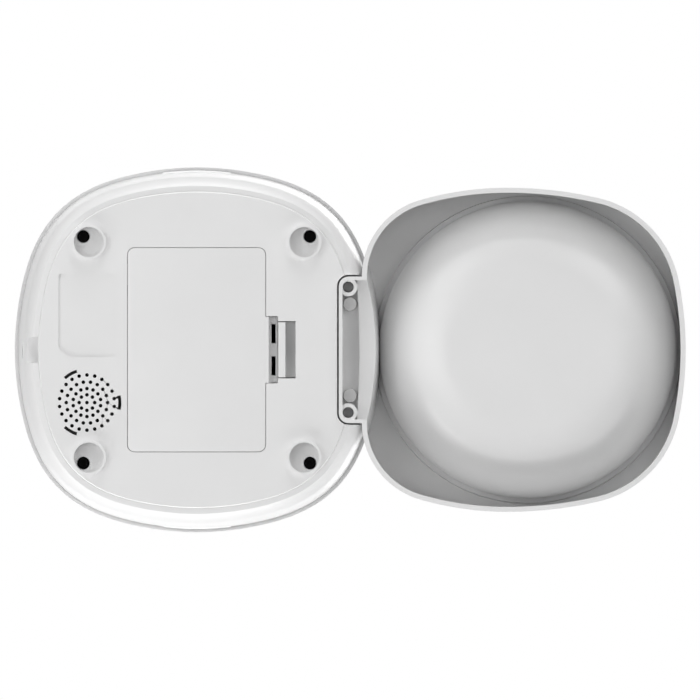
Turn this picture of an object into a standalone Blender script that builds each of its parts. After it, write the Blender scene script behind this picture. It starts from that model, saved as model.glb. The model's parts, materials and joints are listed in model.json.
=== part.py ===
"""Smart pet feeder: a tower with a hopper and a dosing rotor, and a clip-on holder with a steel bowl.

Metres, +Z up. The origin is the middle of the footprint on the floor: the bowl is at -Y, the tower at +Y.
The width follows from the battery door and the speaker, the height from the bowl and what stands over it.
"""

from math import asin, atan2, cos, hypot, pi, radians, sin, sqrt, tan

import bmesh
import bpy
from mathutils import Matrix, Vector

# Gaps and overruns
GAP = 0.0003
SLIDE_GAP = 0.0006
OVERRUN = 0.004
WELD = 0.000002
SHARP_ANGLE = radians(32)
FLAT_ANGLE = radians(0.05)

# Facets round the turned and drilled pieces
LARGE_TURN = 24
MIDDLE_TURN = 20
SMALL_TURN = 16
FINE_TURN = 12
TINY_TURN = 8
ARC_STEPS = 8

# Battery cells, their contacts and the battery box
CELL_RADIUS = 0.0131
CELL_LONG = 0.0490
CELL_NUB_RADIUS = 0.0036
CELL_NUB_LONG = 0.0010
CELL_SPACE = 0.0013
CELL_PITCH = 2 * CELL_RADIUS + CELL_SPACE
CELL_STEPS = 18
SPRING_ROOM = 0.0055
BOX_END_SPACE = 0.0010
BOX_INNER_HALF = CELL_PITCH + CELL_RADIUS + BOX_END_SPACE
BOX_INNER_WIDE = CELL_LONG + 2 * SPRING_ROOM
BOX_WALL = 0.0015
BOX_FLANGE_OUT = 0.0020
BOX_SIDE_SEAT = 0.00125
BOX_FLANGE_THICK = 0.0015
CONTACT_THICK = 0.0005
CONTACT_HIGH = 0.0180
CONTACT_SPRING_RADIUS = 0.0045

# Battery door, its opening and its latch
DOOR_END_MARGIN = 0.0062
DOOR_SIDE_MARGIN = 0.00225
DOOR_LONG = 2 * (BOX_INNER_HALF + DOOR_END_MARGIN)
DOOR_WIDE = BOX_INNER_WIDE + 2 * DOOR_SIDE_MARGIN
DOOR_CORNER = 0.0030
DOOR_GAP = 0.0005
DOOR_CORNER_STEPS = 3
DOOR_NOSE_HALF = 0.0151
DOOR_NOSE_OUT = 0.0012
VALLEY_WIDE = 0.0045
VALLEY_HIGH = 0.0066
VALLEY_WALL = 0.0012
VALLEY_SLOT_INNER = 0.0032
VALLEY_SLOT_WIDE = 0.0015
LATCH_INSET = 0.0023
LATCH_HALF = DOOR_NOSE_HALF - LATCH_INSET
LATCH_LEG = 0.0011
LATCH_TAB_LONG = 0.0033
LATCH_TAB_THICK = 0.0016
LATCH_RIDGE = 0.0008
VALLEY_SLOT_OUTER = LATCH_HALF - LATCH_LEG
FINGER_LONG = 0.0047
FINGER_SPACE = 0.00045
FINGER_HALF = LATCH_HALF + FINGER_SPACE
POCKET_HALF = DOOR_NOSE_HALF + DOOR_GAP
POCKET_WALL = 0.0015
POCKET_RISE = 0.0009
DOOR_TONGUE_INSET = 0.0128
DOOR_TONGUE_OFFSET = DOOR_LONG / 2 - DOOR_TONGUE_INSET
DOOR_TONGUE_WIDE = 0.0100
DOOR_TONGUE_OUT = 0.0016
DOOR_TONGUE_IN = 0.0060
DOOR_TONGUE_THICK = 0.0012

# Speaker behind the door, and the cover's edge behind the speaker
SPEAKER_RADIUS = 0.0155
SPEAKER_HIGH = 0.0080
SPEAKER_MAGNET_RADIUS = 0.0090
SPEAKER_RIM_THICK = 0.0020
SPEAKER_SEAT_WALL = 0.0012
SPEAKER_SEAT_HIGH = 0.0035
SPEAKER_SEAT_RADIUS = SPEAKER_RADIUS + GAP + SPEAKER_SEAT_WALL
SPEAKER_DOOR_SPACE = 0.00165
SPEAKER_EDGE_SPACE = 0.0053
SPEAKER_SET_BACK = DOOR_WIDE / 2 + SPEAKER_DOOR_SPACE + SPEAKER_SEAT_RADIUS
COVER_HALF = SPEAKER_SET_BACK + SPEAKER_SEAT_RADIUS + SPEAKER_EDGE_SPACE

# Tower outline: a rounded square whose radius swells towards its corners, its front face held in place
FRONT_Y = -0.0140
RING_WIDE = 0.0118
BODY_HALF = COVER_HALF + RING_WIDE
BODY_Y = FRONT_Y + BODY_HALF
BODY_STEPS = 40
CORNER_SWELL = 0.00637
CORNER_EASE = 0.00072

# Bowl recess and bowl
RECESS_RADIUS = 0.0717
RECESS_WALL = 0.0024
RECESS_LAP = 0.0028
BOWL_Y = FRONT_Y - RECESS_RADIUS + RECESS_LAP
SEAT_DEEP = 0.0030
SEAT_WIDE = 0.0026
DISH_RADIUS = RECESS_RADIUS - SEAT_WIDE
DISH_WALL = 0.0017
DISH_BOTTOM_Z = 0.0050
DISH_ROUNDING = 0.0261
DISH_FLAT_RADIUS = DISH_RADIUS - DISH_ROUNDING
DISH_STEPS = 4
DISH_TURN_STEPS = 40
FLANGE_CLEAR = 0.0009
FLANGE_RADIUS = RECESS_RADIUS - RECESS_WALL - FLANGE_CLEAR
FLANGE_THICK = 0.0010
FLANGE_LIP = 0.0012
BOWL_INSET = 0.0022
BOWL_SHEET = 0.0010

# Bowl holder: arcs round the recess, and a rear edge behind the tower's front
HOLDER_TOP_Z = 0.0480
HOLDER_SIDE_SPACE = 0.0035
HOLDER_FRONT_SPACE = 0.0014
HOLDER_WIDEST_SHIFT = 0.0098
HOLDER_REAR_LAP = 0.0083
HOLDER_HALF = RECESS_RADIUS + HOLDER_SIDE_SPACE
HOLDER_WIDEST_Y = BOWL_Y + HOLDER_WIDEST_SHIFT
HOLDER_FRONT_Y = BOWL_Y - RECESS_RADIUS - HOLDER_FRONT_SPACE
HOLDER_REAR_Y = FRONT_Y + HOLDER_REAR_LAP
HOLDER_SIDE_RADIUS = 0.1896
HOLDER_FRONT_RADIUS = 0.1601
HOLDER_CORNER_RADIUS = 0.0493
HOLDER_REAR_SIDE_RADIUS = 0.1460
HOLDER_REAR_CORNER_RADIUS = 0.0373
HOLDER_FLARE = 0.0010
HOLDER_RIM = 0.00165
HOLDER_SKIRT = 0.0021
HOLDER_DECK = 0.0020
HOLDER_EDGE = 0.0030
HOLDER_EDGE_STEPS = 3
HOLDER_CLEAR = 0.0008
HOLDER_REAR_WALL = 0.0022

# Holder's tab in the base's front notch, with two bosses over pins and two magnets over magnets
TAB_HALF = 0.0340
TAB_REACH = 0.0190
TAB_REACH_Y = FRONT_Y + TAB_REACH
TAB_CORNER = 0.0045
TAB_WALL = 0.0017
TAB_GAP = 0.0008
TAB_HIGH = 0.0160
TAB_LOW = 0.0112
TAB_CEILING = 0.0018
TAB_STEP = 0.0094
TAB_STEP_Y = FRONT_Y + TAB_STEP
TAB_STEP_RADIUS = 0.4190
NOTCH_WALL = 0.0020
BOSS_RADIUS = 0.00425
BOSS_WALL = 0.00175
BOSS_BORE = BOSS_RADIUS - BOSS_WALL
BOSS_SIDE_INSET = 0.00065
BOSS_REAR_INSET = 0.00015
BOSS_X = TAB_HALF - BOSS_RADIUS - BOSS_SIDE_INSET
BOSS_Y = TAB_REACH_Y - BOSS_RADIUS - BOSS_REAR_INSET
BOSS_END_Z = 0.0015
PIN_CLEAR = 0.0004
PIN_RADIUS = BOSS_BORE - PIN_CLEAR
PIN_END_Z = 0.0080
MAGNET_RADIUS = 0.0032
MAGNET_THICK = 0.0022
MAGNET_SPACE = 0.00035
MAGNET_FORWARD = 0.0008
MAGNET_X = BOSS_X - BOSS_RADIUS - MAGNET_RADIUS - MAGNET_SPACE
MAGNET_Y = BOSS_Y - MAGNET_FORWARD

# Bottom cover, and the cell and door heights over it
COVER_Z = 0.0030
COVER_THICK = 0.0022
COVER_GAP = 0.0004
COVER_EDGE = 0.0003
COVER_TOP_Z = COVER_Z + COVER_THICK
CELL_Z = COVER_TOP_Z + GAP + CELL_RADIUS
BOX_CEILING_Z = CELL_Z + CELL_RADIUS + SLIDE_GAP
POCKET_CEILING_Z = COVER_Z + VALLEY_HIGH + POCKET_RISE
DOOR_FRONT_Y = BODY_Y - DOOR_WIDE / 2
DOOR_REAR_Y = BODY_Y + DOOR_WIDE / 2
NOSE_Y = DOOR_FRONT_Y - DOOR_NOSE_OUT
VALLEY_FRONT_Y = NOSE_Y - VALLEY_WIDE
LATCH_FRONT_Y = VALLEY_FRONT_Y - LATCH_TAB_LONG
FINGER_FRONT_Y = LATCH_FRONT_Y - FINGER_LONG

# Foot collars in the cover's corners, and the cover screws in them
COLLAR_RADIUS = 0.00795
COLLAR_WALL = 0.0010
COLLAR_BORE = COLLAR_RADIUS - COLLAR_WALL
FOOT_EDGE_SPACE = 0.00091
FOOT_SPACING_HALF = (COVER_HALF + CORNER_SWELL - COLLAR_RADIUS - FOOT_EDGE_SPACE) / sqrt(2)
WELL_DEEP = 0.0060
WELL_FLOOR = 0.0022
SCREW_OFFSET = 0.0018
SCREW_HEAD_RADIUS = 0.0026
SCREW_HEAD_HIGH = 0.0022
SCREW_HEAD_CLEAR = 0.00033
SCREW_HOLE_RADIUS = SCREW_HEAD_RADIUS + SCREW_HEAD_CLEAR
SCREW_TUBE_WALL = 0.00167
SCREW_TUBE_RADIUS = SCREW_HOLE_RADIUS + SCREW_TUBE_WALL
SCREW_TUBE_HIGH = 0.0075
SCREW_TUBE_TOP_Z = WELL_DEEP + SCREW_TUBE_HIGH
SCREW_SHELF = 0.0015
SCREW_SOCKET_RADIUS = 0.0013
SCREW_SOCKET_DEEP = 0.0014
SCREW_SHANK_RADIUS = 0.0013
SCREW_LONG = 0.0160

# Base housing
FILLET_WIDE = 0.0072
BASE_FILLET_HALF = COVER_HALF + FILLET_WIDE
BASE_FILLET_HIGH = 0.0090
BASE_FILLET_TURN = radians(74)
BASE_FILLET_STEPS = 4
SHELL_LEDGE = 0.0018
BASE_TOP_HALF = BODY_HALF - SHELL_LEDGE
BASE_WALL = 0.0022
BASE_LEDGE = 0.0020
SEAM_RISE = 0.0080
SEAM_Z = HOLDER_TOP_Z + SEAM_RISE
TONGUE_HIGH = 0.0058
TONGUE_WALL = 0.0018
CABLE_NOTCH_WIDE = 0.0120
CABLE_NOTCH_LAP = 0.0005
CABLE_NOTCH_HIGH = 0.0024
POST_RADIUS = 0.0042
POST_HIGH = 0.0260
POST_ROOT_RADIUS = 0.0013
POST_ROOT_REACH = BASE_FILLET_HALF + CORNER_SWELL - POST_ROOT_RADIUS - GAP

# Speaker grille, in line with the feet, and the label-shaped recess, bare
GRILLE_FOOT_SPACE = 0.00055
GRILLE_X = FOOT_SPACING_HALF - COLLAR_RADIUS - SPEAKER_SEAT_RADIUS - GRILLE_FOOT_SPACE
GRILLE_Y = BODY_Y + SPEAKER_SET_BACK
GRILLE_HOLE_RADIUS = 0.000785
GRILLE_HOLE_STEPS = 6
GRILLE_RING_1 = 0.0036
GRILLE_RING_2 = 0.0065
GRILLE_RING_3 = 0.0096
GRILLE_RING_4 = 0.0128
GRILLE_ARC_RADIUS = 0.0153
GRILLE_ARC_WIDE = 0.0013
GRILLE_ARC_HALF = radians(12.2)
GRILLE_ARCS = 3
LABEL_DOOR_SPACE = 0.00545
LABEL_WIDE = 0.0264
LABEL_LEFT = -0.0355
LABEL_RIGHT = 0.0040
LABEL_CHAMFER_Y = 0.0054
LABEL_CHAMFER_X = 0.0049
LABEL_DEEP = 0.0004

# Holes of each grille ring: radius, count and the turn of the first one
GRILLE_RINGS = (
    (0.0, 1, 0.0),
    (GRILLE_RING_1, 8, 0.0),
    (GRILLE_RING_2, 14, pi / 2),
    (GRILLE_RING_3, 18, 0.0),
    (GRILLE_RING_4, 22, pi / 2),
)

# Gear train: two like stages of 3 to 1
GEAR_MODULE = 0.0009
SMALL_TEETH = 12
LARGE_TEETH = 36
PRESSURE_ANGLE = radians(20)
ADDENDUM_SHARE = 0.85
DEDENDUM_SHARE = 1.15
BACKLASH = 0.00022
FLANK_STEPS = 1
GEAR_THICK = 0.0042
GEAR_SPACE = 0.0006
TRAIN_TURN = radians(150)
LARGE_TIP_RADIUS = GEAR_MODULE * (LARGE_TEETH / 2 + ADDENDUM_SHARE)
GEARBOX_WALL = 0.0014
GEARBOX_PLATE = 0.0022
GEARBOX_GAP = 0.0008
GEARBOX_HANG = 0.0028
GEARBOX_REACH = LARGE_TIP_RADIUS + GEARBOX_GAP + GEARBOX_WALL
PILLAR_RADIUS = 0.0030
MOTOR_RADIUS = 0.0122
MOTOR_LONG = 0.0300
MOTOR_BOSS_RADIUS = 0.0050
MOTOR_BOSS_LONG = 0.0015
MOTOR_SHAFT_RADIUS = 0.0010
AXLE_RADIUS = 0.0015

# Heights over the seam: the chute's mouth, the button over it and the deck over the button
CHUTE_SILL = 0.0043
CHUTE_MOUTH_Z = SEAM_Z + CHUTE_SILL
CHUTE_HIGH = 0.0364
BUTTON_RISE = 0.0213
BUTTON_Z = CHUTE_MOUTH_Z + CHUTE_HIGH + BUTTON_RISE
DECK_RISE = 0.0230
DECK_Z = BUTTON_Z + DECK_RISE
DECK_THICK = 0.0025
CHAMBER_HIGH = 0.0250
CHAMBER_BOTTOM_Z = DECK_Z - CHAMBER_HIGH
COVER_PLATE_TOP = CHAMBER_BOTTOM_Z - GEARBOX_HANG
COVER_PLATE_LOW = COVER_PLATE_TOP - GEARBOX_PLATE
OUTPUT_TOP = COVER_PLATE_LOW - GEAR_SPACE
OUTPUT_LOW = OUTPUT_TOP - GEAR_THICK
LARGE_TOP = OUTPUT_LOW - GEAR_SPACE
LARGE_LOW = LARGE_TOP - GEAR_THICK
TRAY_FLOOR_TOP = LARGE_LOW - GEAR_SPACE
TRAY_FLOOR_LOW = TRAY_FLOOR_TOP - GEARBOX_PLATE

# Outlet chute from under the rotor's chamber to its mouth, and the light gate on it
CHUTE_HALF = 0.0290
CHUTE_CORNER = 0.0080
CHUTE_CORNER_STEPS = 3
CHUTE_WALL = 0.0020
CHUTE_REAR_CLEAR = 0.0008
CHUTE_REAR_Y = BODY_Y - GEARBOX_REACH - CHUTE_REAR_CLEAR
CHUTE_REAR_DROP = 0.0030
CHUTE_SLOPE = atan2(CHAMBER_BOTTOM_Z - CHUTE_REAR_DROP - CHUTE_MOUTH_Z, CHUTE_REAR_Y - FRONT_Y)
CHUTE_SET_BACK = 0.0006
SENSOR_SET_BACK = 0.0200
SENSOR_Y = FRONT_Y + SENSOR_SET_BACK
SENSOR_Z = CHUTE_MOUTH_Z + CHUTE_HIGH / 2 + SENSOR_SET_BACK * tan(CHUTE_SLOPE)
SENSOR_BODY = 0.0080
SENSOR_LENS_RADIUS = 0.0020
SENSOR_BODY_WIDE = 0.0050

# Rotor in its chamber, the deck's opening over it and the outlet under it
CHAMBER_RADIUS = 0.0500
CHAMBER_WALL = 0.0024
CHAMBER_FLOOR = 0.0025
CHAMBER_FLANGE = 0.0050
CHAMBER_FLANGE_THICK = 0.0022
CHAMBER_STEPS = 32
ROTOR_TIP_GAP = 0.0010
ROTOR_RADIUS = CHAMBER_RADIUS - ROTOR_TIP_GAP
ROTOR_GAP = 0.0005
ROTOR_HUB_RADIUS = 0.0095
ROTOR_VANES = 6
ROTOR_HUB_STEPS = 4
VANE_THICK = 0.0022
SHAFT_RADIUS = 0.0038
SHAFT_SIDES = 6
SHAFT_IN_ROTOR = 0.0120
OUTLET_INSET = 0.0005
OUTLET_SIDE_INSET = 0.0018
OUTLET_INNER_RADIUS = BODY_Y - CHUTE_REAR_Y + CHUTE_WALL + OUTLET_INSET
OUTLET_HALF_ANGLE = asin((CHUTE_HALF - CHUTE_WALL - OUTLET_SIDE_INSET) / ROTOR_RADIUS)
OUTLET_STEPS = 10
DECK_OPENING_INSET = 0.0020
DECK_OPENING_RADIUS = CHAMBER_RADIUS - DECK_OPENING_INSET
SHIELD_HALF_ANGLE = OUTLET_HALF_ANGLE + radians(7)
SHIELD_INNER_RADIUS = 0.0105
AGITATOR_RADIUS = 0.0340
AGITATOR_ARMS = 3
AGITATOR_HUB_STEPS = 3
AGITATOR_ARM_THICK = 0.0045
AGITATOR_STEM_HIGH = 0.0100
AGITATOR_ARM_HIGH = 0.0060

# Heights over the deck, and the body shell
FUNNEL_HIGH = 0.0465
HOPPER_FUNNEL_Z = DECK_Z + DECK_THICK + FUNNEL_HIGH
STORE_HIGH = 0.0870
HOPPER_TOP_Z = HOPPER_FUNNEL_Z + STORE_HIGH
RIM_DROP = 0.0030
SHELL_TOP_Z = HOPPER_TOP_Z + RIM_DROP
SHELL_WALL = 0.0024
TOWER_TAPER = 0.0018
SHELL_TOP_HALF = BODY_HALF - TOWER_TAPER
SHELL_EDGE = 0.0006
DECK_RIB_WIDE = 0.0022
DECK_RIB_THICK = 0.0024

# Feed button and indicator
BUTTON_RADIUS = 0.0095
BUTTON_PROUD = 0.0010
BUTTON_LONG = 0.0060
BUTTON_FLANGE = 0.0018
BUTTON_FLANGE_THICK = 0.0012
BUTTON_TRAVEL = 0.0012
BUTTON_BACK = 0.0008
INDICATOR_RISE = 0.0155
INDICATOR_RADIUS = 0.0016
BOARD_THICK = 0.0016
BUTTON_BOARD_HALF = 0.0172
BUTTON_BOARD_DROP = 0.0095

# Main board on the battery box, and the power socket in the rear wall
MAIN_BOARD_INSET = 0.0056
MAIN_BOARD_HALF = BOX_INNER_HALF - MAIN_BOARD_INSET
MAIN_BOARD_WIDE = BOX_INNER_WIDE - 2 * MAIN_BOARD_INSET
STANDOFF_RADIUS = 0.0022
STANDOFF_HIGH = 0.0030
SOCKET_Z = 0.0220
SOCKET_HALF = 0.0058
SOCKET_DEEP = 0.0110
SOCKET_BARREL_RADIUS = 0.0042
SOCKET_BORE_RADIUS = 0.0029
SOCKET_PIN_RADIUS = 0.0008

# Chips on the main board: their place and size as shares of its half sizes, their height of its thickness
CHIP_SHARES = (
    (-0.5, 0.4, 0.26, 1.0),
    (0.35, 0.3, 0.20, 0.8),
    (0.0, -0.5, 0.16, 1.6),
    (0.6, -0.5, 0.18, 2.2),
)

# Hopper
HOPPER_CLEAR = 0.0013
HOPPER_HALF = SHELL_TOP_HALF - SHELL_WALL - HOPPER_CLEAR
HOPPER_WALL = 0.0018
THROAT_INSET = 0.0015
THROAT_RADIUS = DECK_OPENING_RADIUS - THROAT_INSET
THROAT_HIGH = 0.0030

# Lid, seal and desiccant box
LID_HIGH = 0.0194
LID_LOW_Z = SHELL_TOP_Z + SLIDE_GAP
LID_TOP_Z = LID_LOW_Z + LID_HIGH
LID_HALF = SHELL_TOP_HALF
LID_EDGE = 0.0065
LID_EDGE_STEPS = 3
LID_WALL = 0.0024
LID_BORDER = 0.0132
LID_PANEL_HALF = LID_HALF - LID_BORDER
LID_PANEL_DEEP = 0.0008
LID_CEILING_Z = LID_TOP_Z - LID_PANEL_DEEP - LID_WALL
GRIP_HALF_LONG = 0.0170
GRIP_HIGH = 0.0090
GRIP_DEEP = 0.0050
SKIRT_CLEAR = 0.0025
SKIRT_HALF = HOPPER_HALF - HOPPER_WALL - SKIRT_CLEAR
SKIRT_WALL = 0.0020
SKIRT_DROP = 0.0090
SKIRT_BOTTOM_Z = HOPPER_TOP_Z - SKIRT_DROP
SEAL_HALF = HOPPER_HALF - HOPPER_WALL - GAP
SEAL_LOW = 0.0030
SEAL_HIGH = 0.0040
SEAL_BEAD = 0.0006
DESICCANT_RADIUS = 0.0270
DESICCANT_HIGH = 0.0190
DESICCANT_WALL = 0.0015
DESICCANT_RING_WALL = 0.0016
DESICCANT_RING_HIGH = 0.0150
DESICCANT_COVER_THICK = 0.0024
DESICCANT_SLOTS = 6
DESICCANT_SLOT_STEPS = 2
DESICCANT_SLOT_INNER = 0.0090
DESICCANT_SLOT_INSET = 0.0060
DESICCANT_SLOT_OUTER = DESICCANT_RADIUS - DESICCANT_SLOT_INSET
DESICCANT_SLOT_HALF = radians(12)

# Looks of the pieces: colour, roughness, metallic
FINISHES = {
    "white_shell": ((0.80, 0.80, 0.80), 0.38, 0.0),
    "white_base": ((0.76, 0.76, 0.76), 0.45, 0.0),
    "inner_plastic": ((0.62, 0.63, 0.64), 0.50, 0.0),
    "black_screw": ((0.02, 0.02, 0.02), 0.35, 0.9),
    "steel": ((0.62, 0.62, 0.61), 0.30, 1.0),
    "bowl_steel": ((0.66, 0.66, 0.65), 0.22, 1.0),
    "magnet": ((0.50, 0.50, 0.50), 0.30, 1.0),
    "smoked_clear": ((0.55, 0.57, 0.58), 0.12, 0.0),
    "gear_plastic": ((0.85, 0.84, 0.78), 0.42, 0.0),
    "board_green": ((0.03, 0.17, 0.08), 0.45, 0.0),
    "cell_wrap": ((0.16, 0.20, 0.24), 0.35, 0.2),
    "black_plastic": ((0.03, 0.03, 0.03), 0.45, 0.0),
    "soft_grey": ((0.55, 0.56, 0.57), 0.70, 0.0),
    "light_window": ((0.75, 0.85, 0.92), 0.20, 0.0),
}


def clear_scene():
    for old in list(bpy.data.objects):
        bpy.data.objects.remove(old, do_unlink=True)


def finish_material(slot):
    found = bpy.data.materials.get(slot)
    if found:
        return found
    colour, roughness, metallic = FINISHES[slot]
    made = bpy.data.materials.new(slot)
    made.use_nodes = True
    shader = made.node_tree.nodes["Principled BSDF"]
    shader.inputs["Base Color"].default_value = (*colour, 1.0)
    shader.inputs["Roughness"].default_value = roughness
    shader.inputs["Metallic"].default_value = metallic
    return made


# Closed bodies from rings, outlines and turned profiles


def body_from(bm, name="shape"):
    bmesh.ops.recalc_face_normals(bm, faces=bm.faces[:])
    mesh = bpy.data.meshes.new(name)
    bm.to_mesh(mesh)
    bm.free()
    made = bpy.data.objects.new(name, mesh)
    bpy.context.scene.collection.objects.link(made)
    return made


def loft(rings, closed=False):
    """A body through rings of points: capped at its two ends, or closed on itself like a tyre."""
    bm = bmesh.new()
    rows = [[bm.verts.new(point) for point in ring] for ring in rings]
    pairs = list(zip(rows, rows[1:]))
    if closed:
        pairs.append((rows[-1], rows[0]))
    for low, high in pairs:
        for k in range(len(low)):
            after = (k + 1) % len(low)
            bm.faces.new((low[k], low[after], high[after], high[k]))
    if not closed:
        bm.faces.new(rows[0])
        bm.faces.new(rows[-1])
    return body_from(bm)


def flat_ring(outline, z):
    return [Vector((x, y, z)) for x, y in outline]


def prism(outline, low_z, high_z):
    return loft([flat_ring(outline, low_z), flat_ring(outline, high_z)])


def circle(radius, steps, x=0.0, y=0.0, start=0.0):
    return [
        (x + radius * cos(start + 2 * pi * k / steps), y + radius * sin(start + 2 * pi * k / steps))
        for k in range(steps)
    ]


def cylinder(radius, low_z, high_z, x=0.0, y=0.0, steps=LARGE_TURN):
    return prism(circle(radius, steps, x, y), low_z, high_z)


def turned(profile, x, y, steps, closed=False):
    """A profile of (radius, z) points, turned about the upright axis through x, y."""
    return loft([flat_ring(circle(radius, steps, x, y), z) for radius, z in profile], closed)


def box(low, high):
    (x0, y0, z0), (x1, y1, z1) = low, high
    return prism([(x0, y0), (x1, y0), (x1, y1), (x0, y1)], z0, z1)


def rounded_rectangle(half_x, half_y, corner, steps, x=0.0, y=0.0):
    points = []
    for quarter, (side_x, side_y) in enumerate(((1, 1), (-1, 1), (-1, -1), (1, -1))):
        for k in range(steps + 1):
            angle = pi / 2 * (quarter + k / steps)
            points.append((
                x + side_x * (half_x - corner) + corner * cos(angle),
                y + side_y * (half_y - corner) + corner * sin(angle),
            ))
    return points


def hull_prism(discs, low_z, high_z, steps=FINE_TURN):
    """The upright prism round a set of discs, each given as x, y, radius."""
    bm = bmesh.new()
    for x, y, radius in discs:
        for point_x, point_y in circle(radius, steps, x, y):
            bm.verts.new((point_x, point_y, low_z))
            bm.verts.new((point_x, point_y, high_z))
    found = bmesh.ops.convex_hull(bm, input=bm.verts[:])
    spare = {piece for piece in found["geom_interior"] if isinstance(piece, bmesh.types.BMVert)}
    bmesh.ops.delete(bm, geom=list(spare), context="VERTS")
    bmesh.ops.dissolve_limit(bm, angle_limit=FLAT_ANGLE, verts=bm.verts[:], edges=bm.edges[:])
    return body_from(bm)


def gather(parts):
    """Several bodies that stand clear of each other, as one object."""
    bm = bmesh.new()
    for part in parts:
        part.data.transform(part.matrix_world)
        bm.from_mesh(part.data)
        discard(part)
    return body_from(bm)


def turn(part, matrix):
    part.data.transform(matrix)
    part.data.update()
    return part


def discard(part):
    mesh = part.data
    bpy.data.objects.remove(part, do_unlink=True)
    bpy.data.meshes.remove(mesh)


def settle(part):
    """Keeps the part's evaluated shape as its mesh, with flat neighbours merged."""
    graph = bpy.context.evaluated_depsgraph_get()
    mesh = bpy.data.meshes.new_from_object(part.evaluated_get(graph))
    part.modifiers.clear()
    old = part.data
    part.data = mesh
    bpy.data.meshes.remove(old)
    bm = bmesh.new()
    bm.from_mesh(mesh)
    bmesh.ops.remove_doubles(bm, verts=bm.verts[:], dist=WELD)
    bmesh.ops.dissolve_degenerate(bm, edges=bm.edges[:], dist=WELD)
    bmesh.ops.dissolve_limit(bm, angle_limit=FLAT_ANGLE, verts=bm.verts[:], edges=bm.edges[:])
    bm.to_mesh(mesh)
    bm.free()


def combine(part, tool, operation):
    change = part.modifiers.new("shape", "BOOLEAN")
    change.operation = operation
    change.solver = "EXACT"
    change.object = tool
    settle(part)
    discard(tool)
    return part


def cut(part, *tools):
    for tool in tools:
        combine(part, tool, "DIFFERENCE")
    return part


def fuse(part, *tools):
    for tool in tools:
        combine(part, tool, "UNION")
    return part


def keep_inside(part, tool):
    return combine(part, tool, "INTERSECT")


def name_piece(part, name, slot, origin=(0.0, 0.0, 0.0), parent=None):
    """Gives a body its name, its material and its origin, which is on the joint's axis where it moves."""
    part.name = name
    part.data.name = name
    place = Vector(origin)
    part.data.transform(Matrix.Translation(-place))
    part.location = place
    part.data.materials.clear()
    part.data.materials.append(finish_material(slot))
    part.data.shade_smooth()
    part.data.set_sharp_from_angle(angle=SHARP_ANGLE)
    if parent:
        part.parent = parent
        part.location = place - parent_place(parent)
    return part


def parent_place(parent):
    place = Vector((0.0, 0.0, 0.0))
    while parent:
        place = place + parent.location
        parent = parent.parent
    return place


# The tower's outline and heights


def body_radius(angle, half):
    swell = CORNER_SWELL * (1 - cos(4 * angle)) / 2
    return half + swell - CORNER_EASE * (1 - cos(8 * angle)) / 2


def body_outline(half):
    points = []
    for k in range(BODY_STEPS):
        angle = 2 * pi * k / BODY_STEPS
        radius = body_radius(angle, half)
        points.append((radius * cos(angle), BODY_Y + radius * sin(angle)))
    return points


def body_loft(profile, closed=False):
    """A profile of (half width, z) points, carried round the tower's outline."""
    return loft([flat_ring(body_outline(half), z) for half, z in profile], closed)


def base_outer(offset=0.0):
    """The base housing's outer side from its lower edge up to the seam, moved outward by an offset."""
    start_half = COVER_HALF + 2 * COVER_GAP
    profile = []
    for k in range(BASE_FILLET_STEPS + 1):
        angle = BASE_FILLET_TURN * k / BASE_FILLET_STEPS
        across = sin(angle) / sin(BASE_FILLET_TURN)
        rise = (1 - cos(angle)) / (1 - cos(BASE_FILLET_TURN))
        half = start_half + (BASE_FILLET_HALF - start_half) * across
        profile.append((half + offset, COVER_Z + BASE_FILLET_HIGH * rise))
    profile.append((BASE_TOP_HALF + offset, SEAM_Z - GAP))
    return profile


def base_half(z):
    """The base housing's outer half width at a height above its fillet."""
    low_z = COVER_Z + BASE_FILLET_HIGH
    share = (z - low_z) / (SEAM_Z - GAP - low_z)
    return BASE_FILLET_HALF + (BASE_TOP_HALF - BASE_FILLET_HALF) * share


def shell_half(z):
    """The body shell's outer half width at a height."""
    share = (z - SEAM_Z) / (SHELL_TOP_Z - SEAM_Z)
    return BODY_HALF + (SHELL_TOP_HALF - BODY_HALF) * share


def corner_places(spacing_half):
    return [
        (side_x * spacing_half, BODY_Y + side_y * spacing_half, side_x, side_y)
        for side_x in (-1, 1)
        for side_y in (-1, 1)
    ]


def foot_places():
    return [(x, y) for x, y, _, _ in corner_places(FOOT_SPACING_HALF)]


def screw_places():
    return [
        (x + side_x * SCREW_OFFSET, y + side_y * SCREW_OFFSET)
        for x, y, side_x, side_y in corner_places(FOOT_SPACING_HALF)
    ]


def cylinders(places, radius, low_z, high_z, steps):
    """Upright cylinders of one size at several places, as one object."""
    return gather([cylinder(radius, low_z, high_z, x, y, steps) for x, y in places])


# Base: cover, screws, housing


def foot_wells():
    """The solid and then the hollow parts of the four foot collars with their screw tubes."""
    feet = foot_places()
    screws = screw_places()
    tube_low = WELL_DEEP + WELL_FLOOR / 2
    head_low = WELL_DEEP - OVERRUN / 2
    head_top = SCREW_TUBE_TOP_Z - SCREW_SHELF
    collars = cylinders(feet, COLLAR_RADIUS, 0.0, WELL_DEEP + WELL_FLOOR, MIDDLE_TURN)
    tubes = cylinders(screws, SCREW_TUBE_RADIUS, tube_low, SCREW_TUBE_TOP_Z, FINE_TURN)
    wells = cylinders(feet, COLLAR_BORE, -OVERRUN, WELL_DEEP, MIDDLE_TURN)
    heads = cylinders(screws, SCREW_HOLE_RADIUS, head_low, head_top, FINE_TURN)
    shanks = cylinders(screws, SCREW_SHANK_RADIUS + GAP, head_top - OVERRUN, head_top + OVERRUN, TINY_TURN)
    return (collars, tubes), (wells, heads, shanks)


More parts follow.
